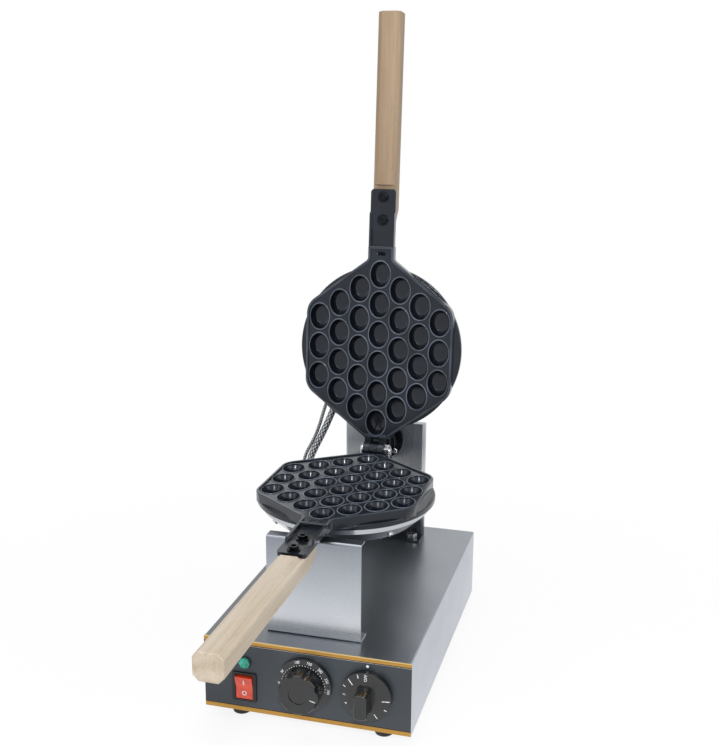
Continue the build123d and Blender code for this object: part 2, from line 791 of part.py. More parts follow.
def tang():
    """A plate under the grip's screws, with a rail along each side next to the neck."""
    end = neck_end + tang_length
    top = -tang_depth + tang_floor
    plate = box_between((-tang_width / 2, -end, -tang_depth), (tang_width / 2, -neck_end + 1.0, top))
    plate = fillet(plate.edges().filter_by(Axis.Z).group_by(Axis.Y)[0], tang_corner)
    rail_top = -face_gap - tang_drop
    outline = Polyline(
        (-neck_end + 1.0, top - 1.0), (-neck_end + 1.0, rail_top),
        (-tang_rail_reach + tang_rail_slope, rail_top), (-tang_rail_reach, top - 1.0), close=True)
    rail = extrude(make_face(Plane.YZ * outline), tang_rail / 2, both=True)
    for side in (-1, 1):
        plate += Pos(side * (tang_width - tang_rail) / 2, 0, 0) * rail
    for reach in grip_screw_reaches:
        plate -= Pos(0, -reach, -tang_depth) * Cylinder(grip_screw_thread / 2, 4 * tang_floor)
    return plate


def lower_plate():
    casting = pan_casting()
    pad = box_between((-pad_width / 2, plate_half_length - 6.0, -plate_thickness),
                      (pad_width / 2, pad_end, -pad_top_depth))
    casting += pad
    for side in (-1, 1):
        casting -= Pos(side * yoke_bolt_spacing / 2, yoke_bolt_reach, -plate_thickness) * Cylinder(
            yoke_bolt_thread / 2, 2 * (plate_thickness - pad_top_depth - 4.0))
    return casting


def stop_depth(y):
    """Depth of the lug's stop flat, which stands upright once the pan is open."""
    return -(lug_stop_height - abs(y) * math.cos(open_turn - math.pi)) / math.sin(open_turn)


def lug_profile():
    """Side view of a hinge lug about the pin: the round knuckle, the arm and the stop flat."""
    flat_end = -yoke_top - 1.5
    arm = Polyline(
        (-lug_root, -face_gap), (-lug_root, -plate_thickness), (flat_end, stop_depth(flat_end)),
        (0, stop_depth(0)), (knuckle_radius * 0.7, -knuckle_radius * 0.75), (0, -face_gap), close=True)
    return make_face(Plane.YZ * arm) + make_face(Plane.YZ * Circle(knuckle_radius).edge())


def upper_plate():
    casting = pan_casting()
    width = lug_outer - lug_inner
    lug = extrude(lug_profile(), width / 2, both=True)
    lug -= Rot(0, 90, 0) * Cylinder(pin_diameter / 2 + pin_play, 4 * width)
    for side in (-1, 1):
        casting += Pos(side * (lug_inner + lug_outer) / 2, hinge_reach, 0) * lug
    return casting


def heater():
    """A tube bent to a ring that stays open towards the hinge."""
    radius = heater_ring_diameter / 2
    depth = plate_thickness + heater_tube / 2
    start = 90 + heater_open_angle / 2
    ring = CenterArc((0, 0), radius, start, 360 - heater_open_angle)
    section = Plane(origin=ring @ 0, z_dir=ring % 0) * Circle(heater_tube / 2)
    tube = sweep(section, path=ring)
    return Pos(0, 0, -depth) * tube


def insulation():
    top = plate_thickness + heater_tube
    disc = Cylinder(insulation_diameter / 2, cover_depth - cover_sheet - top,
                    align=(Align.CENTER, Align.CENTER, Align.MAX))
    return Pos(0, 0, -top) * disc


def dish(drop, inset):
    """The cover's solid form, made smaller by the sheet for its inside."""
    profile = Polyline(
        (0, -flange_back), (cover_rim_diameter / 2 - inset, -flange_back),
        (cover_rim_diameter / 2 - inset, -flange_back - cover_rim_height + drop / 2),
        (cover_shoulder_diameter / 2 - inset / 2, -cover_shoulder_depth + drop),
        (cover_face_diameter / 2, -cover_depth + drop), (0, -cover_depth + drop), close=True)
    form = revolve(make_face(Plane.XZ * profile), Axis.Z)
    rims = form.edges().filter_by(GeomType.CIRCLE).group_by(Axis.Z)
    return fillet(rims[0] + rims[1], cover_round)


def dish_cover():
    """A spun sheet dish: a low rim under the flange, a sloping side and a flat face."""
    return dish(0, 0) - dish(cover_sheet, cover_sheet)


def side_depth(radius):
    """Depth of the cover's sloping side at a radius."""
    top = flange_back + cover_rim_height
    run = (cover_rim_diameter - cover_shoulder_diameter) / 2
    return top + (cover_rim_diameter / 2 - radius) / run * (cover_shoulder_depth - top)


def cover_screw_places():
    places = []
    for degrees in (cover_screw_angle, 180 - cover_screw_angle, 180 + cover_screw_angle, -cover_screw_angle):
        angle = math.radians(degrees)
        places.append((cover_screw_radius * math.cos(angle), cover_screw_radius * math.sin(angle), degrees))
    return places


def slope_angle():
    run = (cover_rim_diameter - cover_shoulder_diameter) / 2
    return math.degrees(math.atan2(cover_shoulder_depth - flange_back - cover_rim_height, run))


def on_slope(shape):
    """Copies a shape to the four screw places, standing square on the cover's slope."""
    depth = -side_depth(cover_screw_radius)
    turned = Rot(0, 180 - slope_angle(), 0) * shape
    return [Pos(x, y, depth) * Rot(0, 0, angle) * turned for x, y, angle in cover_screw_places()]


def cover_screws():
    return on_slope(screw(
        cover_screw_thread, cover_screw_length, cover_screw_head, cover_screw_head_height))


def cover_screw_shanks():
    return on_slope(Cylinder(
        cover_screw_thread / 2, cover_screw_length, align=(Align.CENTER, Align.CENTER, Align.MAX)))


def gland_axis(spot, heading, depth):
    """A plane at a gland's outer end, looking out along its conduit."""
    return Plane(origin=(*spot, -depth), z_dir=(*heading, 0))


def cover_gland(spot, heading, depth, bore, thread, collar, length):
    """A collar cut to sit on the cover's slope, with its thread through the sheet."""
    axis = gland_axis(spot, heading, depth)
    down = (Align.CENTER, Align.CENTER, Align.MAX)
    body = axis * Cylinder(collar / 2, length, align=down) - dish(0, 0)
    body += axis * Cylinder(thread / 2, length, align=down)
    return body - axis * Cylinder(bore / 2 - 1.0, 3 * length)


def conduit_gland():
    return cover_gland(
        conduit_gland_spot, conduit_gland_heading, conduit_gland_depth,
        conduit_diameter, conduit_gland_thread, conduit_gland_collar, conduit_gland_length)


def sleeve_gland():
    return cover_gland(
        sleeve_gland_spot, sleeve_gland_heading, sleeve_gland_depth,
        sleeve_diameter, sleeve_gland_thread, sleeve_gland_collar, sleeve_gland_length)


def gland_hole(spot, heading, depth, thread, length):
    axis = gland_axis(spot, heading, depth)
    return axis * Cylinder(thread / 2, length, align=(Align.CENTER, Align.CENTER, Align.MAX))


def conduit_gland_hole():
    return gland_hole(
        conduit_gland_spot, conduit_gland_heading, conduit_gland_depth,
        conduit_gland_thread, conduit_gland_length)


def sleeve_gland_hole():
    return gland_hole(
        sleeve_gland_spot, sleeve_gland_heading, sleeve_gland_depth,
        sleeve_gland_thread, sleeve_gland_length)


def lower_cover():
    return dish_cover() - cover_screw_shanks() - conduit_gland_hole()


def upper_cover():
    return dish_cover() - cover_screw_shanks() - conduit_gland_hole() - sleeve_gland_hole()


def grip():
    """A wooden bar with chamfered long edges, cut flat under the tang and sloped up below it."""
    bottom = -grip_drop - grip_depth
    bar = box_between(
        (-grip_width / 2, -grip_reach, bottom), (grip_width / 2, -grip_inner_reach, -grip_drop))
    bar = chamfer(bar.edges().filter_by(Axis.Y), grip_chamfer)
    bar = fillet(bar.faces().sort_by(Axis.Y)[0].edges(), grip_end_round)
    bar -= box_between((-grip_width, -grip_start, -tang_depth), (grip_width, 0, 0))
    waste = Polyline(
        (-grip_slope_reach, bottom), (-grip_inner_reach, -grip_inner_depth), (0, -grip_inner_depth),
        (0, bottom - 1.0), (-grip_slope_reach, bottom - 1.0), close=True)
    bar -= extrude(make_face(Plane.YZ * waste), grip_width, both=True)
    for reach in grip_screw_reaches:
        bar -= Pos(0, -reach, -tang_depth) * Cylinder(grip_screw_thread / 2, 2 * grip_screw_hole(reach))
    return bar


def grip_screw_hole(reach):
    """How deep a screw may go into the wood, which is thinner near its inner end."""
    return grip_screw_depth if reach > grip_slope_reach else grip_inner_depth - tang_depth + 1.0


def grip_screws():
    """Hexagon screws with a flange and a socket, through the tang into the wood."""
    screws = []
    for reach in grip_screw_reaches:
        one = Cylinder(grip_screw_flange / 2, grip_screw_flange_height,
                       align=(Align.CENTER, Align.CENTER, Align.MIN))
        one += hexagon(grip_screw_across, grip_screw_head_height)
        one -= Pos(0, 0, grip_screw_head_height) * Cylinder(
            grip_screw_socket / 2, 2 * grip_screw_socket_depth)
        one += Cylinder(grip_screw_thread / 2, tang_floor + grip_screw_hole(reach) - 0.5,
                        align=(Align.CENTER, Align.CENTER, Align.MAX))
        screws.append(Pos(0, -reach, -tang_depth + tang_floor) * one)
    return screws


# Hinge, yoke and turning shaft, in the lower pan's frame
def hinge_yoke():
    arm = Rot(0, 90, 0) * Cylinder(knuckle_radius, 2 * tongue_half)
    arm = Pos(0, hinge_reach, 0) * arm
    arm += box_between((-tongue_half, hinge_reach, -knuckle_radius),
                       (tongue_half, yoke_face + 1.0, knuckle_radius))
    block_end = yoke_face + yoke_block_length
    block = box_between((-yoke_width / 2, yoke_face, -plate_thickness - yoke_ledge_depth),
                        (yoke_width / 2, block_end, yoke_top))
    ledge = box_between((-yoke_width / 2, yoke_ledge_start, -plate_thickness - yoke_ledge_depth),
                        (yoke_width / 2, yoke_face + 1.0, -plate_thickness))
    disc = Pos(0, block_end, 0) * Rot(-90, 0, 0) * Cylinder(
        yoke_disc_diameter / 2, yoke_disc_thickness, align=(Align.CENTER, Align.CENTER, Align.MIN))
    yoke = arm + block + ledge + disc
    yoke -= Pos(0, hinge_reach, 0) * Rot(0, 90, 0) * Cylinder(pin_diameter / 2, 4 * tongue_half)
    for side in (-1, 1):
        yoke -= Pos(side * yoke_bolt_spacing / 2, yoke_bolt_reach, -plate_thickness) * Cylinder(
            yoke_bolt_thread / 2, 4 * yoke_ledge_depth)
    for x, z in bracket_screw_places():
        yoke -= Pos(x, block_end, z - meeting_z) * Rot(90, 0, 0) * Cylinder(bracket_screw_thread / 2, 14.0)
    return yoke


def yoke_bolts():
    length = yoke_ledge_depth + plate_thickness - pad_top_depth - 4.5
    one = hex_bolt(yoke_bolt_thread, length, yoke_bolt_across, yoke_bolt_head_height)
    z = -plate_thickness - yoke_ledge_depth
    return [Pos(side * yoke_bolt_spacing / 2, yoke_bolt_reach, z) * Rot(180, 0, 0) * one for side in (-1, 1)]


def hinge_pin():
    end = lug_outer + 2 * pin_play
    rod = Cylinder(pin_diameter / 2, 2 * end + pin_nut_height + 1.5,
                   align=(Align.CENTER, Align.CENTER, Align.MIN))
    rod = Pos(0, 0, -end) * rod
    head = Cylinder(pin_head_diameter / 2, pin_head_height, align=(Align.CENTER, Align.CENTER, Align.MAX))
    head = fillet(head.edges().group_by(Axis.Z)[0], pin_head_height * 0.6)
    pin = rod + Pos(0, 0, -end) * head
    return Pos(0, hinge_reach, 0) * Rot(0, 90, 0) * pin


def hinge_pin_nut():
    end = lug_outer + 2 * pin_play
    one = nut(pin_diameter, pin_nut_across, pin_nut_height)
    return Pos(end, hinge_reach, 0) * Rot(0, 90, 0) * one


def shaft_end_reach():
    """Where the shaft's nut ends, behind the bearing tube."""
    return bearing_tube_back() + shaft_washer_thickness + shaft_nut_height + thrust_gap


def bearing_tube_back():
    """Distance from the shaft's start to the bearing tube's rear face."""
    return post_back + bearing_tube_overhang - bearing_face + thrust_gap


def flip_shaft():
    shaft = Cylinder(shaft_diameter / 2, bearing_tube_back() + thrust_gap,
                     align=(Align.CENTER, Align.CENTER, Align.MIN))
    shaft += Cylinder(
        shaft_thread / 2, shaft_end_reach() + 1.0, align=(Align.CENTER, Align.CENTER, Align.MIN))
    return Pos(0, yoke_disc_back, 0) * Rot(-90, 0, 0) * shaft


def shaft_nut():
    z = bearing_tube_back() + thrust_gap + shaft_washer_thickness
    ring = Pos(0, 0, z) * nut(shaft_thread, shaft_nut_across, shaft_nut_height)
    return Pos(0, yoke_disc_back, 0) * Rot(-90, 0, 0) * ring


def shaft_washer():
    ring = Cylinder(shaft_washer_diameter / 2, shaft_washer_thickness,
                    align=(Align.CENTER, Align.CENTER, Align.MIN))
    ring -= Cylinder(shaft_thread / 2, 4 * shaft_washer_thickness)
    ring = Pos(0, 0, bearing_tube_back() + thrust_gap) * ring
    return Pos(0, yoke_disc_back, 0) * Rot(-90, 0, 0) * ring


# Rear post and bearing, in the row's frame
def rear_post():
    half = post_width / 2
    front_sheet = box_between((-half, post_y, housing_top), (half, post_y + post_sheet, post_top))
    post = front_sheet
    for side in (-1, 1):
        x = sorted((side * half, side * (half - post_sheet)))
        post += box_between((x[0], post_y, housing_top), (x[1], post_back - post_sheet, post_top))
        x = sorted((side * half, side * (half - post_lip)))
        post += box_between(
            (x[0], post_back - 2 * post_sheet, housing_top), (x[1], post_back - post_sheet, post_top))
    post += box_between((-half, post_y, post_top - post_sheet), (half, post_back - post_sheet, post_top))
    outer = post.edges().filter_by(Axis.Z).group_by(Axis.Y)[0]
    post = fillet(outer, post_bend)
    post += box_between((-half, post_y - post_foot, housing_top),
                        (half, post_y + post_sheet, housing_top + post_sheet))
    post -= bearing_hole(post_y)
    for x, z in bearing_screw_places():
        post -= Pos(x, post_y, z) * Rot(90, 0, 0) * Cylinder(bearing_screw_thread / 2, 4 * post_sheet)
    for x, y in post_bolt_places():
        post -= Pos(x, y, housing_top) * Cylinder(post_bolt_thread / 2, 4 * post_sheet)
    for x, z in back_cover_screw_places():
        post -= Pos(x, post_back, z) * Rot(90, 0, 0) * Cylinder(back_cover_screw_thread / 2, 5 * post_sheet)
    return post


def bearing_hole(y):
    return Pos(0, y, meeting_z) * Rot(90, 0, 0) * Cylinder(
        bearing_tube_diameter / 2 + bearing_tube_play, 4 * post_sheet)


def bearing_screw_places():
    radius = bearing_screw_pcd / 2 * math.sqrt(0.5)
    return [(sx * radius, meeting_z + sz * radius) for sx in (-1, 1) for sz in (-1, 1)]


def post_back_cover():
    half = post_width / 2
    cover = box_between((-half, post_back - post_sheet, housing_top), (half, post_back, post_top))
    cover -= bearing_hole(post_back)
    for x, z in back_cover_screw_places():
        cover -= Pos(x, post_back, z) * Rot(90, 0, 0) * Cylinder(back_cover_screw_thread / 2, 4 * post_sheet)
    return cover


def post_bolts():
    one = hex_bolt(post_bolt_thread, post_sheet + 5 * housing_sheet, post_bolt_across, post_bolt_head_height)
    return [Pos(x, y, housing_top + post_sheet) * one for x, y in post_bolt_places()]


def bearing_housing():
    tube_length = post_back + bearing_tube_overhang - post_y
    body = Cylinder(bearing_tube_diameter / 2, tube_length, align=(Align.CENTER, Align.CENTER, Align.MAX))
    body += Cylinder(bearing_flange_diameter / 2, bearing_flange_thickness,
                     align=(Align.CENTER, Align.CENTER, Align.MIN))
    body -= Cylinder(shaft_diameter / 2 + bush_wall, 4 * tube_length)
    radius = bearing_screw_pcd / 2 * math.sqrt(0.5)
    for sx in (-1, 1):
        for sy in (-1, 1):
            body -= Pos(sx * radius, sy * radius, 0) * Cylinder(
                bearing_screw_thread / 2, 4 * bearing_flange_thickness)
    return Pos(0, post_y, meeting_z) * along_y(body)


def bearing_bushes():
    collar_front = post_y - bearing_flange_thickness
    outer = shaft_diameter / 2 + bush_wall
    bore = Cylinder(shaft_diameter / 2 + shaft_play, 6 * bush_length)
    plain = Cylinder(outer, bush_length, align=(Align.CENTER, Align.CENTER, Align.MAX)) - bore
    collar = Cylinder(
        outer + 2.0, collar_front - bearing_face, align=(Align.CENTER, Align.CENTER, Align.MIN))
    collared = plain + (collar - bore)
    front_bush = Pos(0, collar_front, meeting_z) * along_y(collared)
    rear_bush = Pos(0, post_back + bearing_tube_overhang - bush_length, meeting_z) * along_y(plain)
    return [front_bush, rear_bush]


def bearing_screws():
    one = screw(bearing_screw_thread, bearing_flange_thickness + post_sheet + 2.0,
                bearing_screw_head, bearing_screw_head_height)
    y = post_y - bearing_flange_thickness
    return [Pos(x, y, z) * along_y(one) for x, z in bearing_screw_places()]


def back_cover_screw_places():
    x = post_width / 2 - post_lip / 2 - post_sheet / 2
    return [(side * x, z) for side in (-1, 1) for z in (housing_top + 20.0, post_top - 20.0)]


def back_cover_screws():
    one = screw(
        back_cover_screw_thread, 2 * post_sheet + 1.0, back_cover_screw_head, back_cover_screw_head_height)
    return [Pos(x, post_back, z) * Rot(-90, 0, 0) * one for x, z in back_cover_screw_places()]


# Conduits, from the pans over the bracket on the yoke down to the housing
def in_open_pan(spot, depth):
    """Where a point of the upper pan's own frame lies while the pan is open."""
    along = spot[1] - hinge_reach
    y = along * math.cos(open_turn) + depth * math.sin(open_turn)
    z = -along * math.sin(open_turn) + depth * math.cos(open_turn)
    return Vector(spot[0], pin_y + y, meeting_z + z)


def conduit_bracket():
    """A strip on the yoke's rear face that carries the saddle for the two upper lines."""
    top = meeting_z - yoke_disc_diameter / 2 - 1.0
    inner = yoke_width / 2 - 1.5
    outer_x = sleeve_saddle_x - saddle_height / 2
    low = saddle_z - saddle_height / 2
    high = saddle_z + saddle_height / 2
    knee = saddle_x + saddle_height
    strip = Polyline(
        (inner, top), (-inner, top), (knee, high), (outer_x, high), (outer_x, low), (knee, low),
        (-inner, top - bracket_height), (inner, top - bracket_height), close=True)
    face = make_face(Plane(origin=(0, yoke_block_end, 0), x_dir=(1, 0, 0), z_dir=(0, -1, 0)) * strip)
    bracket = extrude(face, -bracket_sheet)
    saddle = box_between(
        (outer_x, yoke_block_end, low),
        (saddle_x + conduit_diameter / 2 + saddle_wall, saddle_y + conduit_diameter / 2 + saddle_wall, high))
    bracket += fillet(saddle.edges().filter_by(Axis.Z).group_by(Axis.Y)[-1], saddle_wall)
    for x, diameter in ((saddle_x, conduit_diameter), (sleeve_saddle_x, sleeve_diameter)):
        bracket -= Pos(x, saddle_y, saddle_z) * Cylinder(diameter / 2, 2 * saddle_height)
    for x, z in bracket_screw_places():
        bracket -= Pos(x, yoke_block_end, z) * Rot(90, 0, 0) * Cylinder(
            bracket_screw_thread / 2, 4 * bracket_sheet)
    return bracket


def bracket_screw_places():
    z = meeting_z - yoke_disc_diameter / 2 - 1.0 - bracket_height / 2
    return [(side * bracket_screw_spacing / 2, z) for side in (-1, 1)]


def bracket_screws():
    one = screw(
        bracket_screw_thread, bracket_sheet + 7.0, bracket_screw_head, bracket_screw_head_height)
    y = yoke_block_end + bracket_sheet
    return [Pos(x, y, z) * Rot(-90, 0, 0) * one for x, z in bracket_screw_places()]


def top_gland(spot, bore, thread, across, reach):
    x, y = spot
    body = hexagon(across, reach * 0.45)
    body += Pos(0, 0, reach * 0.45) * Cylinder(
        across / 2 - 1.0, reach * 0.55, align=(Align.CENTER, Align.CENTER, Align.MIN))
    inside = 3 * housing_sheet + 5.0
    body += Cylinder(thread / 2, inside, align=(Align.CENTER, Align.CENTER, Align.MAX))
    body += Pos(0, 0, -housing_sheet - 4.0) * nut(thread, across, 4.0)
    body -= Cylinder(bore / 2 - 1.0, 4 * reach)
    return Pos(x, post_y + y, housing_top) * body


def top_glands():
    glands = [top_gland(spot, conduit_diameter, conduit_gland_thread, top_gland_across, top_gland_reach)
              for spot in top_gland_spots]
    glands.append(top_gland(
        top_sleeve_gland_spot, sleeve_diameter, sleeve_gland_thread,
        top_sleeve_gland_across, top_sleeve_gland_reach))
    return glands


def tube(name, points, diameter):
    """A round tube of straight runs joined by arcs as large as the runs allow."""
    points = [Vector(*p) for p in points]
    radii = []
    for a, b, c in zip(points, points[1:], points[2:]):
        turn = math.radians((b - a).get_angle(c - b))
        radii.append(0.45 * min((b - a).length, (c - b).length) / math.tan(turn / 2))
    path = FilletPolyline(*points, radius=radii)
    section = Plane(origin=path @ 0, z_dir=path % 0) * Circle(diameter / 2)
    solid = sweep(section, path=path)
    share = solid.volume / (math.pi * diameter ** 2 / 4 * path.length)
    print(name, "radii", [round(r) for r in radii], "volume share", round(share, 4))
    return solid


def from_axis(bends):
    """Route points, from the post's front face and the height of the shaft."""
    return [(x, post_y + y, meeting_z + z) for x, y, z in bends]


def upper_conduit():
    start = in_open_pan(conduit_gland_spot, conduit_gland_depth)
    ahead = [s + upper_conduit_run * h for s, h in zip(conduit_gland_spot, conduit_gland_heading)]
    return tube("upper_conduit", (
        start, in_open_pan(ahead, conduit_gland_depth), *from_axis(upper_conduit_bends),
        (saddle_x, saddle_y, saddle_z + conduit_saddle_run),
        (saddle_x, saddle_y, saddle_z)), conduit_diameter)


def upper_conduit_tail():
    x, y = top_gland_spots[0]
    return tube("upper_conduit_tail", (
        (saddle_x, saddle_y, saddle_z), (saddle_x, saddle_y, saddle_z - saddle_run),
        (x, post_y + y, housing_top + top_gland_reach + gland_run),
        (x, post_y + y, housing_top + top_gland_reach)), conduit_diameter)


def sensor_sleeve():
    start = in_open_pan(sleeve_gland_spot, sleeve_gland_depth)
    ahead = [s + gland_run * h for s, h in zip(sleeve_gland_spot, sleeve_gland_heading)]
    return tube("sensor_sleeve", (
        start, in_open_pan(ahead, sleeve_gland_depth), *from_axis(sleeve_bends),
        (sleeve_saddle_x, saddle_y, saddle_z + saddle_run),
        (sleeve_saddle_x, saddle_y, saddle_z)), sleeve_diameter)


def sensor_sleeve_tail():
    x, y = top_sleeve_gland_spot
    return tube("sensor_sleeve_tail", (
        (sleeve_saddle_x, saddle_y, saddle_z), (sleeve_saddle_x, saddle_y, saddle_z - saddle_run),
        (x, post_y + y, housing_top + top_sleeve_gland_reach + gland_run),
        (x, post_y + y, housing_top + top_sleeve_gland_reach)), sleeve_diameter)


def lower_conduit():
    x, y = conduit_gland_spot
    ahead = [s + lower_conduit_run * h for s, h in zip(conduit_gland_spot, conduit_gland_heading)]
    depth = meeting_z - conduit_gland_depth
    end_x, end_y = top_gland_spots[1]
    return tube("lower_conduit", (
        (x, plate_y + y, depth), (ahead[0], plate_y + ahead[1], depth),
        *from_axis(lower_conduit_bends),
        (end_x, post_y + end_y, housing_top + top_gland_reach + gland_run),
        (end_x, post_y + end_y, housing_top + top_gland_reach)), conduit_diameter)


nodes = {
    "base_housing": housing(),
    "bottom_plate": bottom_plate(),
    "bottom_plate_screws": bottom_plate_screws(),
    "rubber_feet": rubber_feet(),
    "foot_screws": foot_screws(),
    "foot_nuts": foot_nuts(),
    "front_panel": front_panel(),
    "terminal_block": terminal_block(),
    "inlet_gland": inlet_gland(),
    "power_switch_body": switch_body(),
    "power_rocker": power_rocker(),
    "pilot_lamp_body": lamp_body(),
    "pilot_lamp_lens": lamp_lens(),
    "pilot_lamp_nut": lamp_nut(),
    "thermostat_body": thermostat_body(),
    "timer_body": timer_body(),
    "temperature_spindle": spindle(temperature_x, temperature_height, temperature_knob_reach * spindle_share),
    "timer_spindle": spindle(timer_x, timer_height, timer_bar_reach * spindle_share),
    "temperature_dial": temperature_dial(),
    "timer_dial": timer_dial(),
    "front_stand": front_stand(),
    "stand_screws": stand_screws(),
    "rear_post": rear_post(),
    "post_back_cover": post_back_cover(),
    "post_bolts": post_bolts(),
    "bearing_housing": bearing_housing(),
    "bearing_bushes": bearing_bushes(),
    "bearing_screws": bearing_screws(),
    "back_cover_screws": back_cover_screws(),
    "top_glands": top_glands(),
    "upper_conduit_tail": upper_conduit_tail(),
    "sensor_sleeve_tail": sensor_sleeve_tail(),
    "lower_conduit": lower_conduit(),
    "hinge_yoke": lower_place(hinge_yoke()),
    "yoke_bolts": [lower_place(s) for s in yoke_bolts()],
    "hinge_pin": lower_place(hinge_pin()),
    "hinge_pin_nut": lower_place(hinge_pin_nut()),
    "flip_shaft": lower_place(flip_shaft()),
    "shaft_nut": [lower_place(shaft_nut()), lower_place(shaft_washer())],
    "conduit_bracket": conduit_bracket(),
    "bracket_screws": bracket_screws(),
    "lower_plate": lower_place(lower_plate()),
    "lower_heater": lower_place(heater()),
    "lower_insulation": lower_place(insulation()),
    "lower_cover": lower_place(lower_cover()),
    "lower_gland": lower_place(conduit_gland()),
    "lower_cover_screws": [lower_place(s) for s in cover_screws()],
    "lower_grip": lower_place(grip()),
    "lower_grip_screws": [lower_place(s) for s in grip_screws()],
    "upper_plate": upper_place(upper_plate()),
    "upper_heater": upper_place(heater()),
    "upper_insulation": upper_place(insulation()),
    "upper_cover": upper_place(upper_cover()),
    "upper_glands": [upper_place(conduit_gland()), upper_place(sleeve_gland())],
    "upper_conduit": upper_conduit(),
    "sensor_sleeve": sensor_sleeve(),
    "upper_cover_screws": [upper_place(s) for s in cover_screws()],
    "upper_grip": upper_place(grip()),
    "upper_grip_screws": [upper_place(s) for s in grip_screws()],
}

os.makedirs("parts", exist_ok=True)
for name, shape in nodes.items():
    if isinstance(shape, list):
        shape = Compound(children=[part.solid() if isinstance(part, Part) else part for part in shape])
    export_step(shape, f"parts/{name}.step")
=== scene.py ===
import bpy
import bmesh
import json
import math
from mathutils import Euler, Matrix, Vector


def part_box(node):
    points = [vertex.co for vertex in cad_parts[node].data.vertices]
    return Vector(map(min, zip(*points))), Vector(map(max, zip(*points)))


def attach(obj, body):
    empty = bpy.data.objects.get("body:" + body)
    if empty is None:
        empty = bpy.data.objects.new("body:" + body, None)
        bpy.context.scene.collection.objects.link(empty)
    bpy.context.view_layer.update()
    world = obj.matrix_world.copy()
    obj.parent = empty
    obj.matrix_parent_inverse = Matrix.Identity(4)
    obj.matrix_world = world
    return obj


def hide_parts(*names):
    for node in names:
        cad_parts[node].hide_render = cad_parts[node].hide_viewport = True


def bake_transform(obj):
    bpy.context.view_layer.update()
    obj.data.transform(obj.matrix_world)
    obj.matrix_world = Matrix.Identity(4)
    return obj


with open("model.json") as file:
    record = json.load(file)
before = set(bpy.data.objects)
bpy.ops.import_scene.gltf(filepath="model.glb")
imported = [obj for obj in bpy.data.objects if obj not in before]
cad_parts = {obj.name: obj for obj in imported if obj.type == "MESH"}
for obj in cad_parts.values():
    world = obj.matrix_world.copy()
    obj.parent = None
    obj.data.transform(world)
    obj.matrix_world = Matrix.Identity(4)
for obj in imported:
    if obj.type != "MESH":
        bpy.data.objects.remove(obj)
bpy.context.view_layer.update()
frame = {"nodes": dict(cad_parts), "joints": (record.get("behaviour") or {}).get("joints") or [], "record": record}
nodes = frame["nodes"]
record = frame["record"]
bodyOf = {node: body for body, members in record["behaviour"]["bodies"].items() for node in members}
print("frame loaded:", len(nodes), "nodes")

mm = 0.001

# where the main things are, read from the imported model, in metres
panelLow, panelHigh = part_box("front_panel")
jointAt = {joint["name"]: Vector(joint["pos_m"]) for joint in frame["joints"]}
lidRange = [joint["range_deg"][1] for joint in frame["joints"] if joint["name"] == "lid"][0]
site = {
    "frontY": panelLow[1],
    "housingLow": panelLow[2],
    "housingTop": panelHigh[2],
    "halfWidth": panelHigh[0],
    "meetingZ": jointAt["lid"].z,
    "pinY": jointAt["lid"].y,
    "hingeReach": 115.9,  # mm from the middle of the cells to the hinge pin
    "openAngle": math.radians(lidRange),
}
toMetres = Matrix.Diagonal((mm, mm, mm, 1))
lowerPlace = Matrix.Translation((0, site["pinY"] - site["hingeReach"] * mm, site["meetingZ"])) @ toMetres
upperPlace = (
    Matrix.Translation((0, site["pinY"], site["meetingZ"]))
    @ Matrix.Rotation(-site["openAngle"], 4, "X")
    @ Matrix.Translation((0, -site["hingeReach"] * mm, 0))
    @ Matrix.Diagonal((mm, mm, -mm, 1))
)


# colours and node trees
def linear(hexCode):
    channels = []
    for i in (0, 2, 4):
        value = int(hexCode[i:i + 2], 16) / 255
        channels.append(value / 12.92 if value <= 0.04045 else ((value + 0.055) / 1.055) ** 2.4)
    return (*channels, 1.0)


def addNode(tree, kind, settings=None, links=None):
    node = tree.nodes.new("ShaderNode" + kind)
    for name, value in (settings or {}).items():
        if isinstance(name, int) or name in node.inputs:
            node.inputs[name].default_value = value
        else:
            setattr(node, name, value)
    for name, source in (links or {}).items():
        tree.links.new(source, node.inputs[name])
    return node


def startMaterial(name, settings):
    material = bpy.data.materials.new(name)
    material.use_nodes = True
    tree = material.node_tree
    shader = tree.nodes["Principled BSDF"]
    for key, value in settings.items():
        shader.inputs[key].default_value = value
    return material, tree, shader


def stretchedNoise(tree, sizes, turn=(0, 0, 0), detail=3.0):
    # noise whose features are the given millimetres long on each axis
    where = addNode(tree, "TexCoord").outputs["Object"]
    scale = tuple(1 / (size * mm) for size in sizes)
    if any(turn):
        where = addNode(tree, "Mapping", {"Rotation": turn}, {"Vector": where}).outputs["Vector"]
    mapped = addNode(tree, "Mapping", {"Scale": scale}, {"Vector": where})
    return addNode(
        tree, "TexNoise", {"Scale": 1.0, "Detail": detail},
        {"Vector": mapped.outputs["Vector"]}).outputs["Fac"]


def ramp(tree, source, stops, interpolation="LINEAR"):
    node = addNode(tree, "ValToRGB", {}, {"Fac": source})
    node.color_ramp.interpolation = interpolation
    elements = node.color_ramp.elements
    elements[0].position, elements[0].color = stops[0]
    elements[1].position, elements[1].color = stops[-1]
    for position, color in stops[1:-1]:
        elements.new(position).color = color
    return node.outputs["Color"]


def spread(tree, source, low, high, start=0.3, end=0.7):
    # noise lies near the middle, so a narrow part of it is opened up to the whole range
    return addNode(
        tree, "MapRange", {"From Min": start, "From Max": end, "To Min": low, "To Max": high},
        {"Value": source}).outputs["Result"]


def blendColours(tree, first, second, kind="MULTIPLY", share=1.0):
    node = addNode(tree, "Mix", {"data_type": "RGBA", "blend_type": kind, 0: share}, {6: first, 7: second})
    return node.outputs[2]


def addBump(tree, shader, source, depth, strength=1.0):
    node = addNode(tree, "Bump", {"Distance": depth * mm, "Strength": strength}, {"Height": source})
    tree.links.new(node.outputs["Normal"], shader.inputs["Normal"])


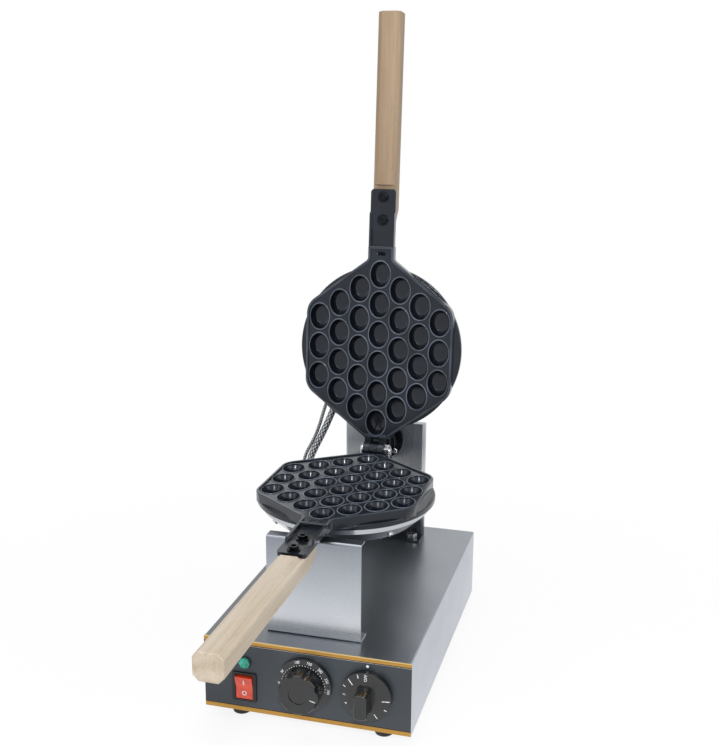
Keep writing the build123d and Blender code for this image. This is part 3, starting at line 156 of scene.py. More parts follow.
def alongAxis(tree, axis, low, high):
    # 0 at one place along an axis, 1 at another, both in metres
    where = addNode(tree, "TexCoord").outputs["Object"]
    part = addNode(tree, "SeparateXYZ", {}, {"Vector": where}).outputs[axis]
    return addNode(
        tree, "MapRange", {"From Min": low, "From Max": high, "To Min": 0.0, "To Max": 1.0},
        {"Value": part}).outputs["Result"]


# Stainless sheet, satin from a fine brush: hair lines one way, random clouds of tone, and, where stops are given,
# a slow change of tone along one axis, which is painted shade and reflection.
def makeStainlessSheet(name, along, tone, roughness=(0.26, 0.34), shade=None):
    material, tree, shader = startMaterial(name, {"Metallic": 1.0})
    short, long = 0.5, 120.0  # hair lines drawn coarser than the real 0.05 mm, which would not show
    lines = stretchedNoise(tree, tuple(long if axis == along else short for axis in "XYZ"), detail=3)
    clouds = stretchedNoise(tree, (80, 95, 70), detail=2)
    colour = ramp(tree, lines, [(0.2, linear(tone[0])), (0.8, linear(tone[1]))])
    haze = ramp(tree, clouds, [(0.3, linear("EDEEF0")), (0.7, linear("FFFFFF"))])
    colour = blendColours(tree, colour, haze)
    # the shade stops paint shade and reflection into the colour, slowly along one axis
    if shade:
        axis, low, high, stops = shade
        slope = alongAxis(tree, axis, low, high)
        paintedShading = ramp(tree, slope, [(place, linear(code)) for place, code in stops])
        colour = blendColours(tree, colour, paintedShading)
    tree.links.new(colour, shader.inputs["Base Color"])
    tree.links.new(spread(tree, lines, *roughness), shader.inputs["Roughness"])
    addBump(tree, shader, lines, 0.01, 0.3)
    return material


# Stainless dish spun on a lathe: bright, with faint rings round its middle.
def makeSpunStainless(name, place, turn):
    material, tree, shader = startMaterial(name, {"Metallic": 1.0})
    where = addNode(tree, "TexCoord").outputs["Object"]
    centre = place @ Vector((0, 0, 0))
    local = addNode(
        tree, "Mapping", {"vector_type": "TEXTURE", "Location": centre, "Rotation": (turn, 0, 0)},
        {"Vector": where}).outputs["Vector"]
    flat = addNode(tree, "VectorMath", {"operation": "MULTIPLY", 1: (1, 1, 0)}, {0: local}).outputs["Vector"]
    radius = addNode(tree, "VectorMath", {"operation": "LENGTH"}, {0: flat}).outputs["Value"]
    rings = addNode(
        tree, "TexNoise", {"noise_dimensions": "1D", "Scale": 1 / (1.4 * mm), "Detail": 3},
        {"W": radius}).outputs["Fac"]
    colour = ramp(tree, rings, [(0.25, linear("B2B5B9")), (0.75, linear("C2C5C9"))])
    tree.links.new(colour, shader.inputs["Base Color"])
    tree.links.new(spread(tree, rings, 0.17, 0.22), shader.inputs["Roughness"])
    addBump(tree, shader, rings, 0.004, 0.2)
    return material


# Zinc-plated steel of screws, nuts, shaft and pin: bright, with faint tool marks. Other tones of it serve for
# the blackened hinge castings and the sintered bronze bushes.
def makePlatedSteel(name, tone=("A9ACB0", "D2D4D7"), roughness=(0.16, 0.30)):
    material, tree, shader = startMaterial(name, {"Metallic": 1.0})
    marks = stretchedNoise(tree, (2.5, 2.5, 2.5), detail=5)
    tree.links.new(
        ramp(tree, marks, [(0.3, linear(tone[0])), (0.7, linear(tone[1]))]), shader.inputs["Base Color"])
    tree.links.new(spread(tree, marks, *roughness), shader.inputs["Roughness"])
    addBump(tree, shader, marks, 0.02, 0.3)
    return material


# Cast aluminium under a sprayed non-stick coat: blue-black and glossy over a faint orange-peel grain, paler on the
# lip and on the tops of the beads round the cells, partly wear and partly painted highlight.
def makeNonStick(name):
    material, tree, shader = startMaterial(
        name, {
            "Specular IOR Level": 0.25, "Specular Tint": linear("C8D8F4"), "Coat Weight": 0.6,
            "Coat Roughness": 0.15, "Coat IOR": 1.45})
    patches = stretchedNoise(tree, (26, 26, 26), detail=3)
    grain = stretchedNoise(tree, (1.1, 1.1, 1.1), detail=4)
    colour = ramp(
        tree, patches, [(0.3, linear("080B10")), (0.52, linear("0D1117")), (0.72, linear("141921"))])
    # the worn attribute turns the colour pale on the lip and bead tops: partly wear, partly painted highlight
    worn = addNode(tree, "Attribute", {"attribute_name": "worn"}).outputs["Fac"]
    share = spread(tree, patches, 0.3, 0.95)
    patchy = addNode(tree, "Math", {"operation": "MULTIPLY"}, {0: worn, 1: share}).outputs[0]
    wornAndHighlit = addNode(
        tree, "Mix", {"data_type": "RGBA", 7: linear("646D7A")}, {0: patchy, 6: colour}).outputs[2]
    tree.links.new(wornAndHighlit, shader.inputs["Base Color"])
    tree.links.new(spread(tree, grain, 0.26, 0.38), shader.inputs["Roughness"])
    addBump(tree, shader, grain, 0.03, 0.3)
    return material


# Printed aluminium panel: dark grey satin face, at the top and bottom a gold stripe with a dark edge.
def makePanelFilm(name):
    material, tree, shader = startMaterial(name, {})
    grain = stretchedNoise(tree, (70, 70, 0.7), detail=4)
    clouds = stretchedNoise(tree, (80, 80, 50), detail=2)
    across = alongAxis(tree, "X", -site["halfWidth"], site["halfWidth"])
    height = alongAxis(tree, "Z", site["housingLow"], site["housingTop"])
    tall = (site["housingTop"] - site["housingLow"]) / mm
    stripe, edge = 4.4 / tall, 0.9 / tall  # mm of gold and of its dark edge, as shares of the height
    pale, gold, deep, face = (linear(code) for code in ("E9CD92", "C79A4E", "3B2A1C", "FFFFFF"))
    # the pale line along the very top edge is a painted highlight
    bands = ramp(tree, height, [
        (0.0, gold), (stripe, deep), (stripe + edge, face), (1 - stripe - edge, deep), (1 - stripe, gold),
        (1 - edge * 1.2, pale)], "CONSTANT")
    inside = addNode(
        tree, "Math", {"operation": "COMPARE", 1: 0.5, 2: 0.5 - stripe - edge}, {0: height}).outputs[0]
    # lighter a little left of the middle and darker towards both ends: painted light across the face
    slope = ramp(tree, across, [(0.0, linear("30353B")), (0.45, linear("3C434A")), (1.0, linear("353B41"))])
    haze = ramp(tree, clouds, [(0.3, linear("E2E4E6")), (0.7, linear("FFFFFF"))])
    worn = ramp(tree, grain, [(0.3, linear("DCD4C8")), (0.7, linear("FFFFFF"))])
    dark = blendColours(tree, slope, haze)
    bright = blendColours(tree, bands, worn)
    colour = addNode(tree, "Mix", {"data_type": "RGBA"}, {0: inside, 6: bright, 7: dark}).outputs[2]
    metal = addNode(tree, "Math", {"operation": "SUBTRACT", 0: 0.75}, {1: inside})
    metal.use_clamp = True
    tree.links.new(colour, shader.inputs["Base Color"])
    tree.links.new(metal.outputs[0], shader.inputs["Metallic"])
    tree.links.new(spread(tree, grain, 0.30, 0.40), shader.inputs["Roughness"])
    addBump(tree, shader, grain, 0.01, 0.3)
    return material


# Moulded phenolic, nylon or rubber: nearly black, satin from a lightly textured mould. Pale tones of it serve
# for the printed ink, the fibre board and the terminal block.
def makeMouldedPlastic(name, colours=("131518", "1B1E22"), roughness=(0.28, 0.40), grit=0.8, coat=0.0):
    material, tree, shader = startMaterial(name, {"Coat Weight": coat, "Coat Roughness": 0.15})
    clouds = stretchedNoise(tree, (12, 12, 12), detail=2)
    texture = stretchedNoise(tree, (grit, grit, grit), detail=3)
    colour = ramp(tree, clouds, [(0.3, linear(colours[0])), (0.7, linear(colours[1]))])
    tree.links.new(colour, shader.inputs["Base Color"])
    tree.links.new(spread(tree, texture, *roughness), shader.inputs["Roughness"])
    addBump(tree, shader, texture, 0.02, 0.15)
    return material


# Clear tinted polycarbonate with a neon lamp behind it: it glows a little by itself.
def makeLitPlastic(name, deep, pale, glow, blotch=6, coat=0.6):
    material, tree, shader = startMaterial(
        name, {"Roughness": 0.2, "Emission Strength": glow, "Coat Weight": coat, "Coat Roughness": 0.06})
    clouds = stretchedNoise(tree, (blotch, blotch, blotch), detail=2)
    colour = ramp(tree, clouds, [(0.3, linear(deep)), (0.7, linear(pale))])
    tree.links.new(colour, shader.inputs["Base Color"])
    tree.links.new(colour, shader.inputs["Emission Color"])
    return material


# Beech, planed and oiled: pale, with long faint grain, a few short darker flecks and a dull sheen.
def makeBeech(name, colours, turn=(0, 0, 0)):
    material, tree, shader = startMaterial(name, {"Coat Weight": 0.06, "Coat Roughness": 0.35})
    grain = stretchedNoise(tree, (1.6, 60, 1.6), turn, detail=5)
    rings = stretchedNoise(tree, (13, 190, 13), turn, detail=3)
    flecks = stretchedNoise(tree, (0.9, 5, 0.9), turn, detail=2)
    dark, middle, pale = (linear(code) for code in colours)
    colour = ramp(tree, rings, [(0.32, dark), (0.5, middle), (0.68, pale)])
    fine = ramp(tree, grain, [(0.34, linear("DDD4C6")), (0.6, linear("FFFFFF"))])
    colour = blendColours(tree, colour, fine, share=0.4)
    short = ramp(tree, flecks, [(0.26, linear("A48E74")), (0.34, linear("FFFFFF"))])
    colour = blendColours(tree, colour, short, share=0.5)
    tree.links.new(colour, shader.inputs["Base Color"])
    tree.links.new(spread(tree, grain, 0.46, 0.60), shader.inputs["Roughness"])
    addBump(tree, shader, grain, 0.05, 0.3)
    return material


# Braided steel sleeve: two sets of bright strands that cross, coloured by the height of the weave: dark in the
# gaps between them, partly the darker hose beneath and partly painted shade, and palest on their crowns, painted
# highlight.
def makeBraid(name, strands, pitch, tone=("26282B", "8E9196", "D5D7DA")):
    material, tree, shader = startMaterial(name, {"Metallic": 1.0})
    where = addNode(tree, "UVMap", {"uv_map": "UVMap"}).outputs["UV"]
    waves = []
    for lead in (1, -1):
        slope = (strands * math.pi, lead * math.pi / (pitch * mm), 0)
        lean = addNode(
            tree, "VectorMath", {"operation": "DOT_PRODUCT", 1: slope}, {0: where}).outputs["Value"]
        wave = addNode(tree, "Math", {"operation": "SINE"}, {0: lean}).outputs[0]
        waves.append(addNode(tree, "Math", {"operation": "ABSOLUTE"}, {0: wave}).outputs[0])
    height = addNode(tree, "Math", {"operation": "MULTIPLY"}, {0: waves[0], 1: waves[1]}).outputs[0]
    # colour by height: the dark gaps are partly painted shade, the pale crowns are painted highlight
    colour = ramp(tree, height, [(0.04, linear(tone[0])), (0.3, linear(tone[1])), (0.75, linear(tone[2]))])
    tree.links.new(colour, shader.inputs["Base Color"])
    tree.links.new(spread(tree, height, 0.42, 0.24, 0.0, 1.0), shader.inputs["Roughness"])
    addBump(tree, shader, height, 0.5, 0.9)
    return material


finish = {
    # housing top: darker than the sides and darker still towards the left, painted shade and reflection from the
    # stand near it
    "housingTop": makeStainlessSheet(
        "stainlessHousingTop", "Y", ("C2C5C8", "CED0D3"), (0.28, 0.36),
        ("X", -site["halfWidth"], site["halfWidth"], [(0.0, "9A9C9E"), (0.5, "B2B4B7"), (1.0, "CCCFD3")])),
    "housingSide": makeStainlessSheet("stainlessHousingSide", "Y", ("BDC0C8", "C8CBD2"), (0.34, 0.42)),
    # the stand: darker towards its top, painted reflection of the dark pan and grip above it
    "stand": makeStainlessSheet(
        "stainlessStand", "X", ("E0E3E8", "EAEDF1"), (0.24, 0.32),
        ("Z", site["housingTop"], site["meetingZ"], [(0.0, "FFFFFF"), (0.45, "D2D4D7"), (0.85, "A6A9AE")])),
    # the post: dark at its foot under the pan, painted shade, with lighter and darker bands above, painted
    # reflection
    "post": makeStainlessSheet(
        "stainlessPost", "Z", ("D6D8DB", "E4E6E8"), (0.26, 0.36),
        ("Z", site["housingTop"], site["meetingZ"] + 0.02, [
            (0.0, "6A6D72"), (0.14, "6F7277"), (0.34, "D2D2D2"), (0.6, "E2E0DC"), (0.82, "B0B2B6"),
            (1.0, "C6C8CC")])),
    "bracket": makeStainlessSheet("stainlessBracket", "X", ("9A9DA2", "B9BDC2")),
    "spunLower": makeSpunStainless("spunStainlessLower", lowerPlace, 0.0),
    "spunUpper": makeSpunStainless("spunStainlessUpper", upperPlace, -site["openAngle"]),
    "plated": makePlatedSteel("platedSteel"),
    "blackened": makePlatedSteel("blackenedSteel", ("17191C", "2B2E32"), (0.16, 0.28)),
    "castSteel": makePlatedSteel("blackenedCastSteel", ("1D2024", "33373C"), (0.30, 0.44)),
    "nonStick": makeNonStick("nonStickCoating"),
    "panel": makePanelFilm("printedPanel"),
    "knob": makeMouldedPlastic("blackPhenolic", ("08090B", "101215"), (0.20, 0.30), 1.6, coat=0.5),
    "bezel": makeMouldedPlastic("blackNylon", ("101113", "191A1D"), (0.3, 0.44)),
    "rocker": makeLitPlastic("redPolycarbonate", "C02B14", "E04A26", 0.12),
    "lens": makeLitPlastic("greenPolycarbonate", "06705E", "2FB59A", 0.10, 3, 0.15),
    # the upper grip gets darker colours than the lower one of the same beech: painted shade
    "beechUpper": makeBeech("beechUpperGrip", ("846E53", "907A61", "9B856A"), (site["openAngle"], 0, 0)),
    "beechLower": makeBeech("beechLowerGrip", ("AC9C87", "B9AC99", "C4B7A7")),
    "rubber": makeMouldedPlastic("nitrileRubber", ("1E1F20", "2B2C2D"), (0.6, 0.78), 0.6),
    "ink": makeMouldedPlastic("whiteInk", ("D2D5D9", "F4F6F8"), (0.4, 0.6), 0.5),
    "fibre": makeMouldedPlastic("ceramicFibreBoard", ("CFC9BC", "E4DFD3"), (0.85, 0.95), 1.5),
    "bronze": makePlatedSteel("sinteredBronze", ("8C6438", "B08450"), (0.35, 0.5)),
    "terminal": makeMouldedPlastic("whitePhenolic", ("D8D5CC", "E8E6DF"), (0.35, 0.5)),
    "hose": makeBraid("braidedHose", 6, 6.0, ("1A1C1F", "7A7D82", "CDCFD2")),
    "sleeve": makeBraid("braidedSleeve", 4, 4.0, ("1E2023", "6E7176", "B9BCC0")),
}
print("materials made:", len(finish))

# the CAD nodes that stay as they are, inside the housing and the pans, by the finish they get
nodeFinish = {
    "housingSide": ["bottom_plate"],
    "plated": [
        "foot_nuts", "pilot_lamp_nut", "thermostat_body", "timer_body", "temperature_spindle",
        "timer_spindle", "lower_heater", "upper_heater"],
    "fibre": ["lower_insulation", "upper_insulation"],
    "bronze": ["bearing_bushes"],
    "terminal": ["terminal_block"],
}
for key, names in nodeFinish.items():
    for name in names:
        slots = nodes[name].data.materials
        slots.clear()
        slots.append(finish[key])


# making pieces
def finishPiece(name, mesh, body, material, place=toMetres, replaced=(), sharp=40, weighted=True):
    # moves a finished bmesh from millimetres into its place and makes it a piece
    bmesh.ops.transform(mesh, matrix=place, verts=mesh.verts)
    bmesh.ops.remove_doubles(mesh, verts=mesh.verts, dist=1e-6)
    bmesh.ops.recalc_face_normals(mesh, faces=mesh.faces)
    data = bpy.data.meshes.new(name)
    mesh.to_mesh(data)
    mesh.free()
    for entry in material if isinstance(material, (list, tuple)) else [material]:
        data.materials.append(entry)
    data.shade_smooth()
    data.set_sharp_from_angle(angle=math.radians(sharp))
    piece = bpy.data.objects.new(name, data)
    bpy.context.scene.collection.objects.link(piece)
    if weighted:
        weights = piece.modifiers.new("weights", "WEIGHTED_NORMAL")
        weights.keep_sharp = True
    if body:
        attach(piece, body)
    if replaced:
        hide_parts(*replaced)
    return piece


def mergedCopy(node, place=toMetres):
    # a merged copy of a CAD node, in millimetres in its own frame
    mesh = bmesh.new()
    mesh.from_mesh(nodes[node].data)
    bmesh.ops.transform(mesh, matrix=place.inverted(), verts=mesh.verts)
    bmesh.ops.remove_doubles(mesh, verts=mesh.verts, dist=0.002)
    bmesh.ops.recalc_face_normals(mesh, faces=mesh.faces)
    return mesh


def joinFlatFaces(mesh):
    bmesh.ops.dissolve_degenerate(mesh, edges=mesh.edges, dist=0.001)
    bmesh.ops.dissolve_limit(
        mesh, angle_limit=math.radians(0.4), use_dissolve_boundaries=False,
        verts=mesh.verts, edges=mesh.edges)
    bmesh.ops.recalc_face_normals(mesh, faces=mesh.faces)


def cleanCopy(node, place=toMetres):
    mesh = mergedCopy(node, place)
    joinFlatFaces(mesh)
    return mesh


def roundEdges(mesh, edges, width, segments=2):
    bmesh.ops.bevel(
        mesh, geom=list(edges), offset=width, segments=segments, affect="EDGES", profile=0.5, material=-1,
        clamp_overlap=True)


def sharpEdges(mesh, least=28):
    return [edge for edge in mesh.edges if edge.is_manifold and edge.calc_face_angle(0) > math.radians(least)]


def breakNode(node, material, width):
    # the CAD solid with its sharp edges broken, as a made one has
    mesh = cleanCopy(node)
    roundEdges(mesh, sharpEdges(mesh), width)
    finishPiece(node + ".made", mesh, bodyOf[node], material, replaced=[node])


def addProfile(mesh, points, closed=False):
    # a line of (radius, height) points in the XZ plane
    verts = [mesh.verts.new((x, 0, z)) for x, z in points]
    edges = [mesh.edges.new(pair) for pair in zip(verts, verts[1:])]
    if closed:
        edges.append(mesh.edges.new((verts[-1], verts[0])))
    return verts + edges


def spinProfile(mesh, points, steps, closed=False):
    geometry = addProfile(mesh, points, closed)
    bmesh.ops.spin(
        mesh, geom=geometry, cent=(0, 0, 0), axis=(0, 0, 1), angle=2 * math.pi, steps=steps,
        use_merge=True, use_duplicate=False)


def addBlock(mesh, size, place, width=0.0):
    # a box centred in its place, with its edges rounded when a width is given
    made = bmesh.ops.create_cube(mesh, size=1.0, matrix=place @ Matrix.Diagonal((*size, 1)))["verts"]
    if width:
        roundEdges(mesh, edgesOf(made), width)


def edgesOf(verts):
    return list({edge for vert in verts for edge in vert.link_edges})


def newRing(made):
    # the new verts of an extrusion, and the edges that run between them
    verts = [item for item in made if isinstance(item, bmesh.types.BMVert)]
    known = set(verts)
    edges = [item for item in made if isinstance(item, bmesh.types.BMEdge) and known.issuperset(item.verts)]
    return verts, edges


def mergeInto(mesh, part, place):
    bmesh.ops.transform(part, matrix=place, verts=part.verts)
    data = bpy.data.meshes.new("part")
    part.to_mesh(data)
    part.free()
    mesh.from_mesh(data)
    bpy.data.meshes.remove(data)


# the sheet-metal pieces, castings and fittings, by finish and by how far their edges are broken in mm
broken = [
    ("stand", 0.25, ["front_stand"]),
    ("post", 0.3, ["rear_post", "post_back_cover"]),
    ("bracket", 0.2, ["conduit_bracket"]),
    ("plated", 0.35, [
        "post_bolts", "yoke_bolts", "hinge_pin", "hinge_pin_nut", "flip_shaft", "shaft_nut", "top_glands",
        "lower_gland", "upper_glands"]),
    ("castSteel", 0.4, ["bearing_housing", "hinge_yoke"]),
    ("blackened", 0.25, ["lower_grip_screws", "upper_grip_screws"]),
    ("bezel", 0.3, ["power_switch_body", "pilot_lamp_body", "inlet_gland"]),
    ("knob", 0.35, ["temperature_dial", "timer_dial"]),
    ("rocker", 0.35, ["power_rocker"]),
    ("lens", 0.12, ["pilot_lamp_lens"]),
    ("rubber", 0.5, ["rubber_feet"]),
    ("panel", 0.12, ["front_panel"]),
    ("spunLower", 0.2, ["lower_cover"]),
    ("spunUpper", 0.2, ["upper_cover"]),
    ("beechLower", 0.8, ["lower_grip"]),
    ("beechUpper", 0.8, ["upper_grip"]),
]
for key, width, names in broken:
    for name in names:
        breakNode(name, finish[key], width)
print("edges broken on the copied pieces")


# The housing: one bent sheet, its upward faces given a finish of their own with darker colours than its sides,
# which is painted shade
def makeHousing():
    mesh = cleanCopy("base_housing")
    for face in mesh.faces:
        if face.normal.z > 0.7:
            face.material_index = 1
    roundEdges(mesh, sharpEdges(mesh), 0.3)
    finishPiece(
        "housingSheet", mesh, "base", [finish["housingSide"], finish["housingTop"]],
        replaced=["base_housing"])


makeHousing()

# Pan-head screws with a cross recess, seated where the CAD screws are. Sizes in mm.
screws = {
    "bottom_plate_screws": {"head": 7.5, "height": 2.4, "thread": 4.0, "length": 5.1},
    "foot_screws": {"head": 8.0, "height": 3.0, "thread": 4.0, "length": 11.2},
    "stand_screws": {"head": 8.0, "height": 2.8, "thread": 4.0, "length": 6.3},
    "bearing_screws": {"head": 6.5, "height": 2.2, "thread": 4.0, "length": 8.0},
    "back_cover_screws": {"head": 7.5, "height": 2.4, "thread": 4.0, "length": 5.0},
    "bracket_screws": {"head": 7.0, "height": 2.2, "thread": 4.0, "length": 9.0},
    "lower_cover_screws": {"head": 6.0, "height": 1.8, "thread": 3.0, "length": 17.5},
    "upper_cover_screws": {"head": 6.0, "height": 1.8, "thread": 3.0, "length": 17.5},
}
# shares of the head's radius or height
crossHead = {
    "flat": 0.62, "half": 0.13, "arm": 0.52, "depth": 0.6, "taper": 0.8, "leastFlat": 0.64,
    "sides": 28,  # a count, not a share
}


def islandOf(face):
    found, queue = {face}, [face]
    while queue:
        for edge in queue.pop().edges:
            for other in edge.link_faces:
                if other not in found:
                    found.add(other)
                    queue.append(other)
    return found


def headPlaces(node, least):
    # the middle and the direction of each flat round head end that is wider than the thread
    mesh = cleanCopy(node)
    places = []
    for face in mesh.faces:
        if len(face.verts) < 10 or math.sqrt(face.calc_area() / math.pi) < least:
            continue
        centre = face.calc_center_median_weighted()
        corners = {vert for other in islandOf(face) for vert in other.verts}
        if all((vert.co - centre).dot(face.normal) < 0.01 for vert in corners):
            turn = face.normal.to_track_quat("Z", "Y").to_matrix().to_4x4()
            places.append(Matrix.Translation(centre) @ turn)
    mesh.free()
    return places


def addCrossHead(mesh, place, size):
    # a spun pan head on its thread, with a cross pressed into the top
    radius, tall, thread = size["head"] / 2, size["height"], size["thread"] / 2
    part = bmesh.new()
    spinProfile(part, [
        (0, -tall - size["length"]), (thread * 0.8, -tall - size["length"]),
        (thread, -tall - size["length"] + 0.5), (thread, -tall),
        (radius - 0.15, -tall), (radius, -tall + 0.15), (radius, -tall * 0.5),
        (radius - tall * 0.06, -tall * 0.28), (radius - tall * 0.2, -tall * 0.1),
        (radius - tall * 0.45, 0), (radius * crossHead["flat"], 0)], crossHead["sides"])
    bmesh.ops.remove_doubles(part, verts=part.verts, dist=1e-4)
    ring = [edge for edge in part.edges if edge.is_boundary]
    half, arm = radius * crossHead["half"], radius * crossHead["arm"]
    corners = []
    for quarter in range(4):
        turn = Matrix.Rotation(quarter * math.pi / 2, 3, "Z")
        corners += [turn @ Vector(point) for point in ((half, half, 0), (half, arm, 0), (-half, arm, 0))]
    verts = [part.verts.new(corner) for corner in corners]
    cross = [part.edges.new((verts[i - 1], verts[i])) for i in range(len(verts))]
    bmesh.ops.triangle_fill(part, use_beauty=True, edges=ring + cross, normal=(0, 0, 1))
    made = bmesh.ops.extrude_edge_only(part, edges=cross)["geom"]
    low = [item for item in made if isinstance(item, bmesh.types.BMVert)]
    bmesh.ops.translate(part, vec=(0, 0, -tall * crossHead["depth"]), verts=low)
    bmesh.ops.scale(part, vec=(crossHead["taper"], crossHead["taper"], 1), verts=low)
    bmesh.ops.contextual_create(part, geom=[item for item in made if isinstance(item, bmesh.types.BMEdge)])
    mergeInto(mesh, part, place)


def makeScrews():
    for node, size in screws.items():
        mesh = bmesh.new()
        places = headPlaces(node, size["head"] / 2 * crossHead["leastFlat"])
        for place in places:
            addCrossHead(mesh, place, size)
        print(node, len(places))
        finishPiece(
            node + ".cross", mesh, bodyOf[node], finish["plated"], replaced=[node], sharp=35)


makeScrews()
print("screws made")

# The two pans: the CAD casting keeps its outside, and its cells are drawn anew from their rims
pan = {
    "webLow": -1.8,
    "cellColumns": (3, 4, 5, 6, 5, 4, 3),
    "columnPitch": 23.2,
    "cellPitch": 33.9,
    "cellHalf": (11.7, 15.1),
    "cellFloor": -14.0,
    "near": 0.03,  # how far a point may lie from a plane and still count as on it
    "floorShare": 0.8,  # shares of a cell's oval: within it lie the middle of the floor, the wall and the rim
    "wallShare": 1.015,
    "rimShare": 1.03,
    "edgeRound": 0.35,
    "topEdge": -1.1,  # the lip's edges lie above this
    "tangStart": -117.0,  # the tang's edges lie beyond this
    # share of the oval and depth: a steep wall, a rounded heel, a floor that dips a little
    "cellProfile": [
        (0.985, -0.12), (0.970, -0.5), (0.958, -1.0), (0.926, -2.1), (0.892, -3.2), (0.855, -4.4),
        (0.818, -5.6), (0.785, -6.9), (0.762, -8.6), (0.748, -10.3), (0.725, -11.4), (0.69, -11.85),
        (0.45, -12.1), (0.22, -12.2)],
    "beadProfile": [
        (1.070, -0.3), (1.068, 0.02), (1.055, 0.35), (1.030, 0.62), (1.000, 0.72), (0.975, 0.58),
        (0.960, 0.25), (0.955, -0.1), (0.952, -0.9)],
    "beadSides": 44,
    "beadWearAndHighlight": (0.15, 0.5),  # the height where a bead starts to turn paler, partly wear and partly painted highlight, and how much higher it is fully pale
    # the lip's worn share makes it paler: partly wear, partly painted highlight
    "lip": {"low": -0.3, "front": 4.0, "rear": 101.0, "worn": 0.4},
    "slot": {"reach": (105.0, 111.0), "half": 5.2, "low": -3.0, "near": 0.05, "deeper": 3.5},
    "rib": {"reach": 104.2, "size": (11.0, 0.9, 0.8), "lift": 0.1, "round": 0.25},
}


def cellCentres():
    centres = []
    middle = (len(pan["cellColumns"]) - 1) / 2
    for column, count in enumerate(pan["cellColumns"]):
        for i in range(count):
            centres.append(((column - middle) * pan["columnPitch"], (i - (count - 1) / 2) * pan["cellPitch"]))
    return centres


def inOval(point, centre, share):
    half = pan["cellHalf"]
    return math.hypot((point.x - centre[0]) / half[0], (point.y - centre[1]) / half[1]) < share


def findCell(mesh, floors, centre):
    # the faces of one cell: those that hang on its floor and stay inside its oval
    top = pan["webLow"] + pan["near"]
    queue = [face for face in floors if inOval(face.calc_center_median(), centre, pan["floorShare"])]
    found = set(queue)
    while queue:
        for edge in queue.pop().edges:
            for other in edge.link_faces:
                if other in found:
                    continue
                if all(vert.co.z < top and inOval(vert.co, centre, pan["wallShare"]) for vert in other.verts):
                    found.add(other)
                    queue.append(other)
    return found


def isTopEdge(edge):
    high = all(vert.co.z > pan["topEdge"] for vert in edge.verts)
    return high or all(vert.co.y < pan["tangStart"] for vert in edge.verts)


def drawCells(mesh):
    # the rims are drawn down in steps that follow the cell's profile, and closed with a floor
    centres = cellCentres()
    cellOf = mesh.verts.layers.int.new("cell")
    edges = []
    for edge in [edge for edge in mesh.edges if edge.is_boundary]:
        for i, centre in enumerate(centres):
            if all(inOval(vert.co, centre, pan["rimShare"]) for vert in edge.verts):
                edges.append(edge)
                for vert in edge.verts:
                    vert[cellOf] = i
    share, depth = 1.0, 0.0
    for nextShare, nextDepth in pan["cellProfile"]:
        made = bmesh.ops.extrude_edge_only(mesh, edges=edges)["geom"]
        verts, edges = newRing(made)
        for vert in verts:
            centre = Vector((*centres[vert[cellOf]], vert.co.z))
            vert.co = centre + (vert.co - centre) * nextShare / share
            vert.co.z += nextDepth - depth
        share, depth = nextShare, nextDepth
    bmesh.ops.edgeloop_fill(mesh, edges=edges)


def addBeads(mesh):
    # a raised bead round every cell
    bead = bmesh.new()
    spinProfile(bead, pan["beadProfile"], pan["beadSides"], closed=True)
    bmesh.ops.scale(bead, vec=(*pan["cellHalf"], 1), verts=bead.verts)
    # each bead paler towards its top: partly wear, partly painted highlight
    worn = bead.verts.layers.float.new("worn")
    start, more = pan["beadWearAndHighlight"]
    for vert in bead.verts:
        vert[worn] = min(max((vert.co.z - start) / more, 0), 1)
    for centre in cellCentres():
        mergeInto(mesh, bead.copy(), Matrix.Translation((*centre, pan["webLow"])))
    bead.free()


def deepenSlot(mesh):
    slot = pan["slot"]
    near, far = slot["reach"]
    floor = [
        vert for vert in mesh.verts
        if abs(vert.co.z - slot["low"]) < slot["near"] and abs(vert.co.x) < slot["half"]
        and near < -vert.co.y < far]
    bmesh.ops.translate(mesh, vec=(0, 0, -slot["deeper"]), verts=floor)


def makePan(node, place):
    mesh = mergedCopy(node, place)
    floors = [
        face for face in mesh.faces
        if face.normal.z > 0.9
        and all(abs(vert.co.z - pan["cellFloor"]) < pan["near"] for vert in face.verts)]
    cells = set()
    for centre in cellCentres():
        cells |= findCell(mesh, floors, centre)
    print(node, "faces", len(mesh.faces), "of them in the cells", len(cells))
    bmesh.ops.delete(mesh, geom=list(cells), context="FACES")
    joinFlatFaces(mesh)
    drawCells(mesh)
    roundEdges(mesh, [edge for edge in sharpEdges(mesh) if isTopEdge(edge)], pan["edgeRound"])
    print(node, "open edges left:", sum(not edge.is_manifold for edge in mesh.edges))
    deepenSlot(mesh)
    # the lip made paler: partly wear, partly painted highlight
    worn = mesh.verts.layers.float.new("worn")
    lip = pan["lip"]
    front = -pan["slot"]["reach"][1] - lip["front"]
    for vert in mesh.verts:
        vert[worn] = lip["worn"] if vert.co.z > lip["low"] and front < vert.co.y < lip["rear"] else 0
    addBeads(mesh)
    rib = pan["rib"]
    ribPlace = Matrix.Translation((0, -rib["reach"], pan["webLow"] + rib["lift"]))
    addBlock(mesh, rib["size"], ribPlace, rib["round"])
    finishPiece(node + ".cast", mesh, bodyOf[node], finish["nonStick"], place, [node], sharp=42)


makePan("lower_plate", lowerPlace)
makePan("upper_plate", upperPlace)
print("pans made")

